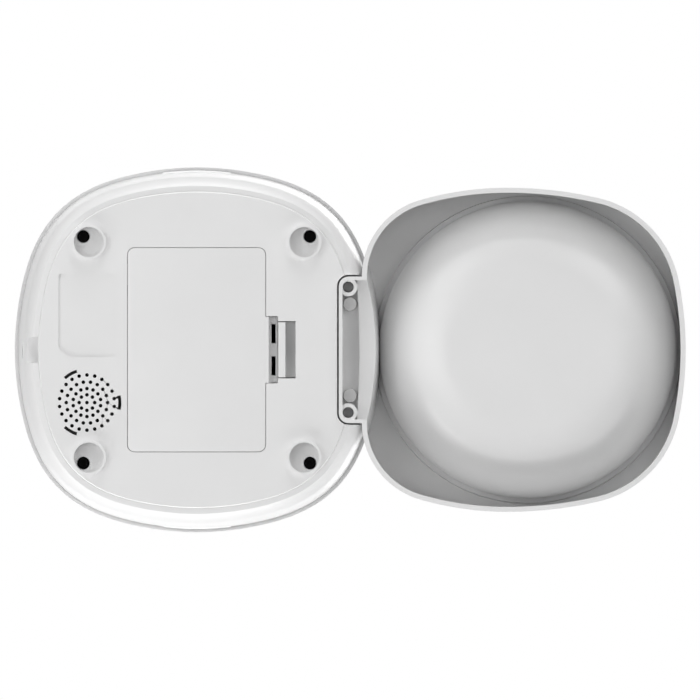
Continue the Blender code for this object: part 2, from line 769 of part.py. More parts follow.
def grille_cutter():
    low_z = COVER_Z - OVERRUN
    high_z = COVER_TOP_Z + OVERRUN
    parts = []
    for radius, count, start in GRILLE_RINGS:
        for k in range(count):
            angle = start + 2 * pi * k / count - pi / 2
            x = GRILLE_X + radius * cos(angle)
            y = GRILLE_Y + radius * sin(angle)
            parts.append(cylinder(GRILLE_HOLE_RADIUS, low_z, high_z, x, y, GRILLE_HOLE_STEPS))
    inner = GRILLE_ARC_RADIUS - GRILLE_ARC_WIDE / 2
    outer = GRILLE_ARC_RADIUS + GRILLE_ARC_WIDE / 2
    for k in range(GRILLE_ARCS):
        middle = 2 * pi * k / GRILLE_ARCS - pi / 2
        outline = sector(inner, outer, middle, GRILLE_ARC_HALF, GRILLE_ARCS, GRILLE_X, GRILLE_Y)
        parts.append(prism(outline, low_z, high_z))
    return gather(parts)


def sector(inner, outer, middle, half_angle, steps, x, y):
    """The outline of a piece of a ring, centred on an angle."""
    points = []
    for radius, order in ((outer, 1), (inner, -1)):
        for k in range(steps + 1):
            angle = middle + order * half_angle * (2 * k / steps - 1)
            points.append((x + radius * cos(angle), y + radius * sin(angle)))
    return points


def rear_corner(half, rear_y, corner):
    """The rounded rear corner of an outline, from its right side to its rear edge."""
    points = []
    for k in range(DOOR_CORNER_STEPS + 1):
        angle = pi / 2 * k / DOOR_CORNER_STEPS
        points.append((half - corner + corner * cos(angle), rear_y - corner + corner * sin(angle)))
    return points


def mirrored(points):
    """A right half of an outline with its left half."""
    return points + [(-x, y) for x, y in reversed(points)]


def tab_outline(inset, front_y):
    """The holder's tab in plan, drawn in by an inset; a negative one gives the notch round it."""
    half = TAB_HALF - inset
    return mirrored([(half, front_y)] + rear_corner(half, TAB_REACH_Y - inset, TAB_CORNER - inset))


def notch_cutter(front_y, top_z):
    return prism(tab_outline(-TAB_GAP, front_y), -OVERRUN, top_z)


def bottom_cover():
    middle_z = COVER_Z + COVER_THICK / 2
    cover = body_loft([
        (COVER_HALF - COVER_EDGE, COVER_Z),
        (COVER_HALF, COVER_Z + COVER_EDGE),
        (COVER_HALF, COVER_TOP_Z),
    ])
    solids, hollows = foot_wells()
    seat_top = COVER_TOP_Z + SPEAKER_SEAT_HIGH
    seat = cylinder(SPEAKER_SEAT_RADIUS, middle_z, seat_top, GRILLE_X, GRILLE_Y)
    seat_bore = cylinder(SPEAKER_RADIUS + GAP, COVER_TOP_Z, seat_top + OVERRUN, GRILLE_X, GRILLE_Y)
    half = POCKET_HALF + POCKET_WALL
    pocket = box((-half, FINGER_FRONT_Y - POCKET_WALL, middle_z),
                 (half, DOOR_FRONT_Y - DOOR_GAP, POCKET_CEILING_Z + POCKET_WALL))
    fuse(cover, seat, pocket, *solids)
    cut(cover, seat_bore, *hollows)
    opening = rounded_rectangle(DOOR_LONG / 2 + DOOR_GAP, DOOR_WIDE / 2 + DOOR_GAP, DOOR_CORNER + DOOR_GAP,
                                DOOR_CORNER_STEPS, 0.0, BODY_Y)
    cut(cover, prism(opening, COVER_Z - OVERRUN, POCKET_CEILING_Z + OVERRUN))
    valley = box((-POCKET_HALF, VALLEY_FRONT_Y + GAP, COVER_Z - OVERRUN),
                 (POCKET_HALF, BODY_Y, POCKET_CEILING_Z))
    finger = box((-FINGER_HALF, FINGER_FRONT_Y, COVER_Z - OVERRUN),
                 (FINGER_HALF, DOOR_FRONT_Y, POCKET_CEILING_Z))
    cut(cover, valley, finger)
    cut(cover, notch_cutter(-BODY_HALF, TAB_HIGH))
    cut(cover, grille_cutter())
    label_front = DOOR_REAR_Y + LABEL_DOOR_SPACE
    label_rear = label_front + LABEL_WIDE
    label = [
        (LABEL_LEFT, label_front),
        (LABEL_RIGHT, label_front),
        (LABEL_RIGHT, label_rear - LABEL_CHAMFER_Y),
        (LABEL_RIGHT - LABEL_CHAMFER_X, label_rear),
        (LABEL_LEFT, label_rear),
    ]
    cut(cover, prism(label, COVER_Z - OVERRUN, COVER_Z + LABEL_DEEP))
    return name_piece(cover, "bottom_cover", "white_base")


def cover_screws():
    top = SCREW_TUBE_TOP_Z - SCREW_SHELF - GAP
    for number, (x, y) in enumerate(screw_places(), 1):
        profile = [
            (SCREW_SOCKET_RADIUS, top - SCREW_HEAD_HIGH + SCREW_SOCKET_DEEP),
            (SCREW_SOCKET_RADIUS, top - SCREW_HEAD_HIGH),
            (SCREW_HEAD_RADIUS, top - SCREW_HEAD_HIGH),
            (SCREW_HEAD_RADIUS, top),
            (SCREW_SHANK_RADIUS, top),
            (SCREW_SHANK_RADIUS, top + SCREW_LONG),
        ]
        name_piece(turned(profile, x, y, FINE_TURN), f"cover_screw_{number}", "black_screw")


def base_housing():
    wall_top = SEAM_Z + TONGUE_HIGH
    tongue_half = BODY_HALF - SHELL_WALL - GAP
    opening_half = COVER_HALF + COVER_GAP
    ledge_z = COVER_TOP_Z + GAP
    profile = base_outer()
    profile += [
        (tongue_half, SEAM_Z - GAP),
        (tongue_half, wall_top),
        (tongue_half - TONGUE_WALL, wall_top),
        (BASE_FILLET_HALF - BASE_WALL, COVER_Z + BASE_FILLET_HIGH + BASE_WALL / 2),
        (BASE_FILLET_HALF - 2 * BASE_WALL, COVER_Z + BASE_FILLET_HIGH / 2 + BASE_WALL / 2),
        (opening_half - BASE_LEDGE, ledge_z + BASE_WALL),
        (opening_half - BASE_LEDGE, ledge_z),
        (opening_half, ledge_z),
        (opening_half, COVER_Z),
    ]
    housing = body_loft(profile, closed=True)
    middle = [(half - BASE_WALL / 2, z) for half, z in base_outer()[1:]]
    notch_top = TAB_HIGH + TAB_GAP
    walls = prism(tab_outline(-TAB_GAP - NOTCH_WALL, -BODY_HALF), ledge_z, notch_top + NOTCH_WALL)
    keep_inside(walls, body_loft([(middle[0][0], ledge_z - OVERRUN)] + middle))
    fuse(housing, walls)
    posts = []
    post_low = SCREW_TUBE_TOP_Z + GAP
    for (x, y), (_, _, side_x, side_y) in zip(screw_places(), corner_places(FOOT_SPACING_HALF)):
        reach = POST_ROOT_REACH / sqrt(2)
        root = (side_x * reach, BODY_Y + side_y * reach, POST_ROOT_RADIUS)
        posts.append(hull_prism([(x, y, POST_RADIUS), root], post_low, post_low + POST_HIGH))
    well_top = WELL_DEEP + WELL_FLOOR + GAP
    cut(housing, cylinders(foot_places(), COLLAR_RADIUS + GAP, COVER_Z - OVERRUN, well_top, FINE_TURN))
    fuse(housing, gather(posts))
    bore_radius = SCREW_SHANK_RADIUS + GAP
    cut(housing, cylinders(screw_places(), bore_radius, post_low - OVERRUN, post_low + SCREW_LONG, TINY_TURN))
    cut(housing, notch_cutter(-BODY_HALF, TAB_LOW + TAB_GAP))
    cut(housing, notch_cutter(TAB_STEP_Y - TAB_GAP, notch_top))
    fuse(housing, cylinders(boss_places(), PIN_RADIUS, PIN_END_Z, notch_top + NOTCH_WALL / 2, FINE_TURN))
    cut(housing, box((-CABLE_NOTCH_WIDE / 2, BODY_Y + COVER_HALF - CABLE_NOTCH_LAP, -OVERRUN),
                     (CABLE_NOTCH_WIDE / 2, BODY_Y + BODY_HALF + OVERRUN, COVER_Z + CABLE_NOTCH_HIGH)))
    socket_hole = cylinder(SOCKET_BARREL_RADIUS + GAP, -2 * OVERRUN, 2 * OVERRUN)
    cut(housing, turn(socket_hole, wall_axis(SOCKET_Z)))
    return name_piece(housing, "base_housing", "white_base")


def boss_places():
    return [(side * BOSS_X, BOSS_Y) for side in (-1, 1)]


def wall_axis(z):
    """Lays an upright piece along Y, centred in the base's rear wall at a height."""
    y = BODY_Y + base_half(z) - BASE_WALL / 2
    return Matrix.Translation((0.0, y, z)) @ Matrix.Rotation(pi / 2, 4, "X")


# Battery door, latch, box, cells, contacts


def battery_door():
    half_x = DOOR_LONG / 2
    half_y = DOOR_WIDE / 2
    rings = []
    for inset, z in ((COVER_EDGE, COVER_Z), (0.0, COVER_Z + COVER_EDGE), (0.0, COVER_TOP_Z)):
        outline = rounded_rectangle(half_x - inset, half_y - inset, DOOR_CORNER, DOOR_CORNER_STEPS,
                                    0.0, BODY_Y)
        rings.append(flat_ring(outline, z))
    door = loft(rings)
    roof_z = COVER_Z + VALLEY_HIGH
    root_y = DOOR_FRONT_Y + DOOR_NOSE_OUT
    nose = box((-DOOR_NOSE_HALF, NOSE_Y, COVER_Z), (DOOR_NOSE_HALF, root_y, roof_z))
    roof = box((-DOOR_NOSE_HALF, VALLEY_FRONT_Y + 2 * GAP, roof_z - VALLEY_WALL),
               (DOOR_NOSE_HALF, NOSE_Y + VALLEY_WALL / 2, roof_z))
    fuse(door, nose, roof)
    cut(door, box((-DOOR_NOSE_HALF - OVERRUN, NOSE_Y + VALLEY_WALL, COVER_TOP_Z),
                  (DOOR_NOSE_HALF + OVERRUN, root_y + OVERRUN, roof_z + OVERRUN)))
    slot_y = NOSE_Y - VALLEY_WIDE / 2 + VALLEY_SLOT_WIDE / 2
    slots = []
    for side in (-1, 1):
        near, far = sorted((side * VALLEY_SLOT_INNER, side * VALLEY_SLOT_OUTER))
        slots.append(box((near, slot_y - VALLEY_SLOT_WIDE, COVER_TOP_Z), (far, slot_y, roof_z + OVERRUN)))
    cut(door, gather(slots))
    low_z = COVER_TOP_Z + GAP
    high_z = low_z + DOOR_TONGUE_THICK
    tongues = []
    tips = []
    for side in (-1, 1):
        left = side * DOOR_TONGUE_OFFSET - DOOR_TONGUE_WIDE / 2
        right = left + DOOR_TONGUE_WIDE
        tongues.append(box((left, DOOR_REAR_Y - DOOR_TONGUE_IN, COVER_TOP_Z - GAP),
                           (right, DOOR_REAR_Y - DOOR_CORNER / 2, high_z)))
        tips.append(box((left, DOOR_REAR_Y - DOOR_CORNER, low_z),
                        (right, DOOR_REAR_Y + DOOR_TONGUE_OUT, high_z)))
    fuse(door, gather(tongues), gather(tips))
    return name_piece(door, "battery_door", "white_base", (0.0, DOOR_REAR_Y, COVER_Z))


def battery_latch(door):
    leg_top = COVER_Z + VALLEY_HIGH - VALLEY_WALL - GAP
    ridge_z = leg_top - LATCH_TAB_THICK
    rear_y = VALLEY_FRONT_Y
    leg_y = rear_y - LATCH_LEG
    side_profile = [
        (LATCH_FRONT_Y, COVER_Z),
        (rear_y, COVER_Z),
        (rear_y, leg_top),
        (leg_y, leg_top),
        (leg_y, ridge_z + LATCH_RIDGE),
        (leg_y - LATCH_RIDGE, ridge_z),
        (leg_y, ridge_z - LATCH_RIDGE / 2),
        (leg_y, COVER_Z + LATCH_TAB_THICK),
        (LATCH_FRONT_Y, COVER_Z + LATCH_TAB_THICK),
    ]
    rings = [[Vector((x, y, z)) for y, z in side_profile] for x in (-LATCH_HALF, LATCH_HALF)]
    origin = (0.0, rear_y, COVER_Z)
    return name_piece(loft(rings), "battery_latch", "white_base", origin, door)


def battery_box():
    low_z = COVER_TOP_Z + GAP
    ceiling_z = BOX_CEILING_Z
    top_z = ceiling_z + BOX_WALL
    half_x = BOX_INNER_HALF + BOX_WALL
    half_y = BOX_INNER_WIDE / 2 + BOX_WALL
    flange_x = DOOR_LONG / 2 + BOX_FLANGE_OUT
    flange_y = DOOR_WIDE / 2 + BOX_SIDE_SEAT
    tub = box((-half_x, BODY_Y - half_y, low_z), (half_x, BODY_Y + half_y, top_z))
    flange = box((-flange_x, BODY_Y - flange_y, low_z),
                 (flange_x, BODY_Y + flange_y, low_z + BOX_FLANGE_THICK))
    fuse(tub, flange)
    spread_x = MAIN_BOARD_HALF - 2 * STANDOFF_RADIUS
    spread_y = MAIN_BOARD_WIDE / 2 - 2 * STANDOFF_RADIUS
    places = [(side_x * spread_x, BODY_Y + side_y * spread_y) for side_x in (-1, 1) for side_y in (-1, 1)]
    fuse(tub, cylinders(places, STANDOFF_RADIUS, top_z - BOX_WALL / 2, top_z + STANDOFF_HIGH, FINE_TURN))
    cut(tub, box((-BOX_INNER_HALF, BODY_Y - BOX_INNER_WIDE / 2, low_z - OVERRUN),
                 (BOX_INNER_HALF, BODY_Y + BOX_INNER_WIDE / 2, ceiling_z)))
    clear = POCKET_HALF + POCKET_WALL + SLIDE_GAP
    cut(tub, box((-clear, BODY_Y - flange_y - OVERRUN, low_z - OVERRUN),
                 (clear, BODY_Y - half_y, low_z + BOX_FLANGE_THICK + OVERRUN)))
    slots = []
    for side in (-1, 1):
        x = side * DOOR_TONGUE_OFFSET
        wide = DOOR_TONGUE_WIDE / 2 + SLIDE_GAP
        slots.append(box((x - wide, DOOR_REAR_Y - DOOR_TONGUE_IN - SLIDE_GAP, low_z - OVERRUN),
                         (x + wide, DOOR_REAR_Y + DOOR_TONGUE_OUT + SLIDE_GAP, low_z + 2 * DOOR_TONGUE_OUT)))
    cut(tub, gather(slots))
    return name_piece(tub, "battery_box", "inner_plastic")


def battery_cells():
    for number, place in enumerate((-1, 0, 1), 1):
        facing = 1 if number % 2 else -1
        x = place * CELL_PITCH
        profile = [
            (CELL_RADIUS, -CELL_LONG / 2),
            (CELL_RADIUS, CELL_LONG / 2),
            (CELL_NUB_RADIUS, CELL_LONG / 2),
            (CELL_NUB_RADIUS, CELL_LONG / 2 + CELL_NUB_LONG),
        ]
        cell = turned(profile, 0.0, 0.0, CELL_STEPS)
        turn(cell, Matrix.Translation((x, BODY_Y, CELL_Z)) @ Matrix.Rotation(-facing * pi / 2, 4, "X"))
        name_piece(cell, f"battery_cell_{number}", "cell_wrap")


def battery_contacts():
    """A plate at each end of the cells, with a sprung dome towards each cell's end."""
    half_x = CELL_PITCH + CELL_RADIUS / 2
    for side, name in ((-1, "front"), (1, "rear")):
        wall_y = BODY_Y + side * (BOX_INNER_WIDE / 2 - GAP)
        near, far = sorted((wall_y, wall_y - side * CONTACT_THICK))
        plate = box((-half_x, near, CELL_Z - CONTACT_HIGH / 2), (half_x, far, CELL_Z + CONTACT_HIGH / 2))
        domes = []
        for number, place in enumerate((-1, 0, 1), 1):
            nub_side = 1 if number % 2 else -1
            cell_end = CELL_LONG / 2 + (CELL_NUB_LONG if nub_side == side else 0.0)
            reach = BOX_INNER_WIDE / 2 - GAP - cell_end - GAP
            profile = [(CONTACT_SPRING_RADIUS, CONTACT_THICK / 2), (CELL_NUB_RADIUS / 2, reach)]
            dome = turned(profile, 0.0, 0.0, FINE_TURN)
            turn(dome, Matrix.Translation((place * CELL_PITCH, wall_y, CELL_Z))
                 @ Matrix.Rotation(side * pi / 2, 4, "X"))
            domes.append(dome)
        fuse(plate, gather(domes))
        name_piece(plate, f"battery_contact_{name}", "steel")


# Speaker, boards and socket


def speaker():
    low_z = COVER_TOP_Z + GAP
    profile = [
        (SPEAKER_RADIUS - SPEAKER_RIM_THICK, low_z + SPEAKER_RIM_THICK / 2),
        (SPEAKER_RADIUS - SPEAKER_RIM_THICK / 2, low_z),
        (SPEAKER_RADIUS, low_z),
        (SPEAKER_RADIUS, low_z + SPEAKER_RIM_THICK),
        (SPEAKER_MAGNET_RADIUS, low_z + 2 * SPEAKER_RIM_THICK),
        (SPEAKER_MAGNET_RADIUS, low_z + SPEAKER_HIGH),
    ]
    return name_piece(turned(profile, GRILLE_X, GRILLE_Y, LARGE_TURN), "speaker", "black_plastic")


def main_board():
    low_z = BOX_CEILING_Z + BOX_WALL + STANDOFF_HIGH + GAP
    top_z = low_z + BOARD_THICK
    half_x = MAIN_BOARD_HALF
    half_y = MAIN_BOARD_WIDE / 2
    board = box((-half_x, BODY_Y - half_y, low_z), (half_x, BODY_Y + half_y, top_z))
    chips = []
    for share_x, share_y, size_share, high_share in CHIP_SHARES:
        x = share_x * half_x
        y = BODY_Y + share_y * half_y
        size = size_share * half_x
        chips.append(box((x - size, y - size / 2, low_z + BOARD_THICK / 2),
                         (x + size, y + size / 2, top_z + high_share * BOARD_THICK)))
    fuse(board, gather(chips))
    return name_piece(board, "main_board", "board_green")


def socket_cylinder(radius, near_y, far_y):
    """A cylinder along Y at the power socket's height."""
    lying = Matrix.Translation((0.0, near_y, SOCKET_Z)) @ Matrix.Rotation(-pi / 2, 4, "X")
    return turn(cylinder(radius, 0.0, far_y - near_y, steps=MIDDLE_TURN), lying)


def power_socket():
    wall_y = BODY_Y + base_half(SOCKET_Z)
    back_y = wall_y - BASE_WALL - 2 * SLIDE_GAP
    body = box((-SOCKET_HALF, back_y - SOCKET_DEEP, SOCKET_Z - SOCKET_HALF),
               (SOCKET_HALF, back_y, SOCKET_Z + SOCKET_HALF))
    mouth_y = wall_y - SLIDE_GAP
    floor_y = back_y - SOCKET_DEEP + BASE_WALL
    barrel = socket_cylinder(SOCKET_BARREL_RADIUS, back_y - SOCKET_DEEP / 2, mouth_y)
    bore = socket_cylinder(SOCKET_BORE_RADIUS, floor_y, mouth_y + OVERRUN)
    pin = socket_cylinder(SOCKET_PIN_RADIUS, floor_y - BASE_WALL / 2, back_y + BASE_WALL / 2)
    fuse(body, barrel)
    cut(body, bore)
    fuse(body, pin)
    return name_piece(body, "power_socket", "black_plastic")


# Body shell with its mouth, button and window


def chute_section(half_x, corner, low_z, high_z):
    middle = (low_z + high_z) / 2
    outline = rounded_rectangle(half_x, (high_z - low_z) / 2, corner, CHUTE_CORNER_STEPS)
    return [(x, middle + z) for x, z in outline]


def chute_tube(margin, front_y, rear_y):
    """The sloping tube of the outlet, widened by a margin: its section is upright and slides up along Y."""
    section = chute_section(CHUTE_HALF + margin, CHUTE_CORNER + margin, CHUTE_MOUTH_Z - margin,
                            CHUTE_MOUTH_Z + CHUTE_HIGH + margin)
    rings = []
    for y in (front_y, rear_y):
        rise = (y - FRONT_Y) * tan(CHUTE_SLOPE)
        rings.append([Vector((x, y, z + rise)) for x, z in section])
    return loft(rings)


def front_axis(z):
    """Lays an upright piece along Y at the tower's front, its foot on the shell's outer side."""
    return Matrix.Translation((0.0, BODY_Y - shell_half(z), z)) @ Matrix.Rotation(pi / 2, 4, "X")


def body_shell():
    rib_top = DECK_Z - GAP
    rib_low = rib_top - DECK_RIB_THICK
    outer = [
        (BODY_HALF - SHELL_EDGE, SEAM_Z),
        (BODY_HALF, SEAM_Z + SHELL_EDGE),
        (shell_half(DECK_Z), DECK_Z),
        (SHELL_TOP_HALF, SHELL_TOP_Z - SHELL_EDGE),
        (SHELL_TOP_HALF - SHELL_EDGE, SHELL_TOP_Z),
    ]
    inner = [
        (SHELL_TOP_HALF - SHELL_WALL, SHELL_TOP_Z),
        (shell_half(DECK_Z) - SHELL_WALL, rib_top),
        (shell_half(DECK_Z) - SHELL_WALL - DECK_RIB_WIDE, rib_top),
        (shell_half(DECK_Z) - SHELL_WALL - DECK_RIB_WIDE, rib_low),
        (shell_half(DECK_Z) - SHELL_WALL, rib_low - DECK_RIB_WIDE),
        (BODY_HALF - SHELL_WALL, SEAM_Z),
    ]
    shell = body_loft(outer + inner, closed=True)
    cut(shell, chute_tube(GAP, FRONT_Y - 2 * OVERRUN, FRONT_Y + 4 * OVERRUN))
    for radius, z in ((BUTTON_RADIUS, BUTTON_Z), (INDICATOR_RADIUS, BUTTON_Z + INDICATOR_RISE)):
        hole = cylinder(radius + GAP, -2 * OVERRUN, 2 * OVERRUN, steps=MIDDLE_TURN)
        cut(shell, turn(hole, front_axis(z)))
    return name_piece(shell, "body_shell", "white_shell")


def feed_button():
    flange_depth = SHELL_WALL + SLIDE_GAP
    rounding = BUTTON_PROUD / 2
    profile = [
        (BUTTON_RADIUS - rounding, BUTTON_PROUD),
        (BUTTON_RADIUS, BUTTON_PROUD - rounding),
        (BUTTON_RADIUS, -flange_depth),
        (BUTTON_RADIUS + BUTTON_FLANGE, -flange_depth),
        (BUTTON_RADIUS + BUTTON_FLANGE, -flange_depth - BUTTON_FLANGE_THICK),
        (INDICATOR_RADIUS * 2, -flange_depth - BUTTON_FLANGE_THICK),
        (INDICATOR_RADIUS * 2, -BUTTON_LONG),
    ]
    button = turn(turned(profile, 0.0, 0.0, MIDDLE_TURN), front_axis(BUTTON_Z))
    origin = (0.0, BODY_Y - shell_half(BUTTON_Z), BUTTON_Z)
    return name_piece(button, "feed_button", "white_shell", origin)


def button_board():
    """The switch board behind the button, held by two arms that reach the shell's inner side."""
    front_y = BODY_Y - shell_half(BUTTON_Z) + BUTTON_LONG + BUTTON_TRAVEL + BUTTON_BACK
    low_z = BUTTON_Z - BUTTON_BOARD_DROP
    high_z = BUTTON_Z + INDICATOR_RISE + 2 * INDICATOR_RADIUS
    board = box((-BUTTON_BOARD_HALF, front_y, low_z), (BUTTON_BOARD_HALF, front_y + BOARD_THICK, high_z))
    switch = box((-BUTTON_FLANGE, front_y - BUTTON_BACK / 2, BUTTON_Z - BUTTON_FLANGE),
                 (BUTTON_FLANGE, front_y + BOARD_THICK / 2, BUTTON_Z + BUTTON_FLANGE))
    fuse(board, switch)
    arms = []
    for side in (-1, 1):
        x = side * (BUTTON_BOARD_HALF - STANDOFF_RADIUS)
        arms.append(box((x - STANDOFF_RADIUS, FRONT_Y, BUTTON_Z - STANDOFF_RADIUS),
                        (x + STANDOFF_RADIUS, front_y + BOARD_THICK / 2, BUTTON_Z + STANDOFF_RADIUS)))
    arms = gather(arms)
    arm_reach = []
    for z in (BUTTON_Z - BUTTON_BOARD_HALF, BUTTON_Z + BUTTON_BOARD_HALF):
        arm_reach.append((shell_half(z) - SHELL_WALL - GAP, z))
    keep_inside(arms, body_loft(arm_reach))
    fuse(board, arms)
    return name_piece(board, "button_board", "board_green")


def indicator_window():
    z = BUTTON_Z + INDICATOR_RISE
    reach = BUTTON_LONG + BUTTON_TRAVEL + BUTTON_BACK - GAP
    window = turn(cylinder(INDICATOR_RADIUS, -reach, 0.0, steps=MIDDLE_TURN), front_axis(z))
    return name_piece(window, "indicator_window", "light_window")


# Outlet chute and light gate


def outlet_chute():
    top_z = CHAMBER_BOTTOM_Z - GAP
    chute = chute_tube(0.0, FRONT_Y - OVERRUN, CHUTE_REAR_Y)
    far = BODY_HALF
    cut(chute, box((-far, FRONT_Y - far, top_z), (far, BODY_Y + far, top_z + far)))
    ceiling = box((-far, FRONT_Y - far, top_z - CHUTE_WALL), (far, BODY_Y + far, top_z + far))
    inlet_half = CHUTE_HALF - CHUTE_WALL - SLIDE_GAP
    inlet_front = BODY_Y - CHAMBER_RADIUS + CHUTE_WALL
    cut(ceiling, box((-inlet_half, inlet_front, top_z - CHUTE_WALL - OVERRUN),
                     (inlet_half, CHUTE_REAR_Y + OVERRUN, top_z + 2 * far)))
    inside = chute_tube(-CHUTE_WALL, FRONT_Y - 2 * OVERRUN, CHUTE_REAR_Y - CHUTE_WALL)
    cut(inside, ceiling)
    cut(chute, inside)
    low_z = CHUTE_MOUTH_Z - CHUTE_WALL
    high_z = top_z + CHUTE_HIGH
    keep_inside(chute, body_loft([(shell_half(low_z) - CHUTE_SET_BACK, low_z),
                                  (shell_half(high_z) - CHUTE_SET_BACK, high_z)]))
    near = CHUTE_HALF - 2 * CHUTE_WALL
    for side in (-1, 1):
        hole = cylinder(SENSOR_LENS_RADIUS + GAP, near, CHUTE_HALF + CHUTE_WALL, steps=FINE_TURN)
        cut(chute, turn(hole, sensor_axis(side)))
    return name_piece(chute, "outlet_chute", "white_shell")


def sensor_axis(side):
    """Lays an upright piece along X, outward on one side of the chute."""
    return Matrix.Translation((0.0, SENSOR_Y, SENSOR_Z)) @ Matrix.Rotation(side * pi / 2, 4, "Y")


def chute_sensors():
    for side, name in ((-1, "left"), (1, "right")):
        near = CHUTE_HALF + GAP
        wide = SENSOR_BODY / 2
        lens_end = CHUTE_HALF - CHUTE_WALL + GAP
        lens = cylinder(SENSOR_LENS_RADIUS, lens_end, near + SENSOR_BODY_WIDE / 2, steps=FINE_TURN)
        sensor = box((-wide, -wide, near), (wide, wide, near + SENSOR_BODY_WIDE))
        fuse(sensor, lens)
        turn(sensor, sensor_axis(side))
        name_piece(sensor, f"chute_sensor_{name}", "black_plastic")


# Dosing rotor, its chamber and the deck


def inner_deck():
    half = shell_half(DECK_Z + DECK_THICK) - SHELL_WALL - SLIDE_GAP
    deck = body_loft([(half, DECK_Z), (half, DECK_Z + DECK_THICK)])
    centre = (0.0, BODY_Y)
    shield_start = 3 * pi / 2 - SHIELD_HALF_ANGLE
    shield_end = 3 * pi / 2 + SHIELD_HALF_ANGLE
    feed = arc_points(centre, DECK_OPENING_RADIUS, shield_end - 2 * pi, shield_start, CHAMBER_STEPS // 2)
    feed += arc_points(centre, DECK_OPENING_RADIUS, shield_start, shield_start, 1)
    feed += arc_points(centre, SHIELD_INNER_RADIUS, shield_start, shield_end, ARC_STEPS // 2)
    feed += arc_points(centre, SHIELD_INNER_RADIUS, shield_end, shield_end, 1)
    cut(deck, prism(feed, DECK_Z - OVERRUN, DECK_Z + DECK_THICK + OVERRUN))
    return name_piece(deck, "inner_deck", "inner_plastic")


def gear_places():
    """The axes of the output gear, the compound gear and the pinion, in plan."""
    reach = GEAR_MODULE * (SMALL_TEETH + LARGE_TEETH) / 2
    middle = (reach * cos(TRAIN_TURN), BODY_Y + reach * sin(TRAIN_TURN))
    last = (middle[0] + reach * cos(pi - TRAIN_TURN), middle[1] + reach * sin(pi - TRAIN_TURN))
    return (0.0, BODY_Y), middle, last


def tip_radius(teeth):
    return GEAR_MODULE * (teeth / 2 + ADDENDUM_SHARE)


def gearbox_discs(extra):
    output, middle, last = gear_places()
    large = LARGE_TIP_RADIUS + GEARBOX_GAP + extra
    return [(*output, large), (*middle, large), (*last, MOTOR_RADIUS - GEARBOX_WALL + extra)]


def pillar_places():
    """Three pillars on the gearbox cover: outside the output gear, the compound gear and the pinion."""
    output, middle, last = gear_places()
    large = LARGE_TIP_RADIUS - PILLAR_RADIUS
    return [(output[0] + large * cos(-pi / 6), output[1] + large * sin(-pi / 6)),
            (middle[0] + large * cos(pi), middle[1] + large * sin(pi)),
            (last[0] + PILLAR_RADIUS, last[1] + PILLAR_RADIUS)]


def rotor_chamber():
    outer = CHAMBER_RADIUS + CHAMBER_WALL
    top = DECK_Z - GAP
    flange = outer + CHAMBER_FLANGE
    floor_z = CHAMBER_BOTTOM_Z + CHAMBER_FLOOR
    profile = [
        (outer, CHAMBER_BOTTOM_Z),
        (outer, top - CHAMBER_FLANGE_THICK),
        (flange, top - CHAMBER_FLANGE_THICK),
        (flange, top),
        (CHAMBER_RADIUS, top),
        (CHAMBER_RADIUS, floor_z),
    ]
    chamber = turned(profile, 0.0, BODY_Y, CHAMBER_STEPS)
    cut_low = CHAMBER_BOTTOM_Z - OVERRUN
    cut_high = floor_z + OVERRUN / 2
    outlet = sector(OUTLET_INNER_RADIUS, ROTOR_RADIUS, -pi / 2, OUTLET_HALF_ANGLE, OUTLET_STEPS, 0.0, BODY_Y)
    cut(chamber, prism(outlet, cut_low, cut_high))
    cut(chamber, cylinder(SHAFT_RADIUS + SLIDE_GAP, cut_low, cut_high, 0.0, BODY_Y, MIDDLE_TURN))
    pillar_top = CHAMBER_BOTTOM_Z + CHAMBER_FLOOR / 2
    fuse(chamber, cylinders(pillar_places(), PILLAR_RADIUS, COVER_PLATE_TOP + GAP, pillar_top, SMALL_TURN))
    return name_piece(chamber, "rotor_chamber", "inner_plastic")


def star(radius, arms, thick, hub_radius, hub_steps, start):
    """The outline of a hub with straight arms of one thickness."""
    points = []
    root = asin(thick / 2 / hub_radius)
    tip = asin(thick / 2 / radius)
    for arm in range(arms):
        middle = start + 2 * pi * arm / arms
        for angle in (middle - tip, middle + tip):
            points.append((radius * cos(angle), BODY_Y + radius * sin(angle)))
        gap = 2 * pi / arms - 2 * root
        for k in range(hub_steps + 1):
            angle = middle + root + gap * k / hub_steps
            points.append((hub_radius * cos(angle), BODY_Y + hub_radius * sin(angle)))
    return points


def rotor():
    low_z = CHAMBER_BOTTOM_Z + CHAMBER_FLOOR + ROTOR_GAP
    high_z = DECK_Z - ROTOR_GAP
    first_vane = pi / ROTOR_VANES
    outline = star(ROTOR_RADIUS, ROTOR_VANES, VANE_THICK, ROTOR_HUB_RADIUS, ROTOR_HUB_STEPS, first_vane)
    wheel = prism(outline, low_z, high_z)
    socket = circle(SHAFT_RADIUS + GAP, SHAFT_SIDES, 0.0, BODY_Y)
    cut(wheel, prism(socket, low_z - OVERRUN, low_z + SHAFT_IN_ROTOR + GAP))
    return name_piece(wheel, "rotor", "soft_grey", (0.0, BODY_Y, low_z))


def agitator(parent):
    low_z = DECK_Z - ROTOR_GAP + GAP
    arm_low = low_z + AGITATOR_STEM_HIGH
    stem_radius = SHIELD_INNER_RADIUS - 4 * SLIDE_GAP
    tip_z = arm_low + 2 * AGITATOR_ARM_HIGH
    profile = [(stem_radius, low_z), (stem_radius, arm_low), (stem_radius / 2, tip_z)]
    stem = turned(profile, 0.0, BODY_Y, MIDDLE_TURN)
    outline = star(AGITATOR_RADIUS, AGITATOR_ARMS, AGITATOR_ARM_THICK, stem_radius, AGITATOR_HUB_STEPS,
                   pi / 2)
    fuse(stem, prism(outline, arm_low, arm_low + AGITATOR_ARM_HIGH))
    return name_piece(stem, "agitator", "inner_plastic", (0.0, BODY_Y, low_z), parent)


# Gear train


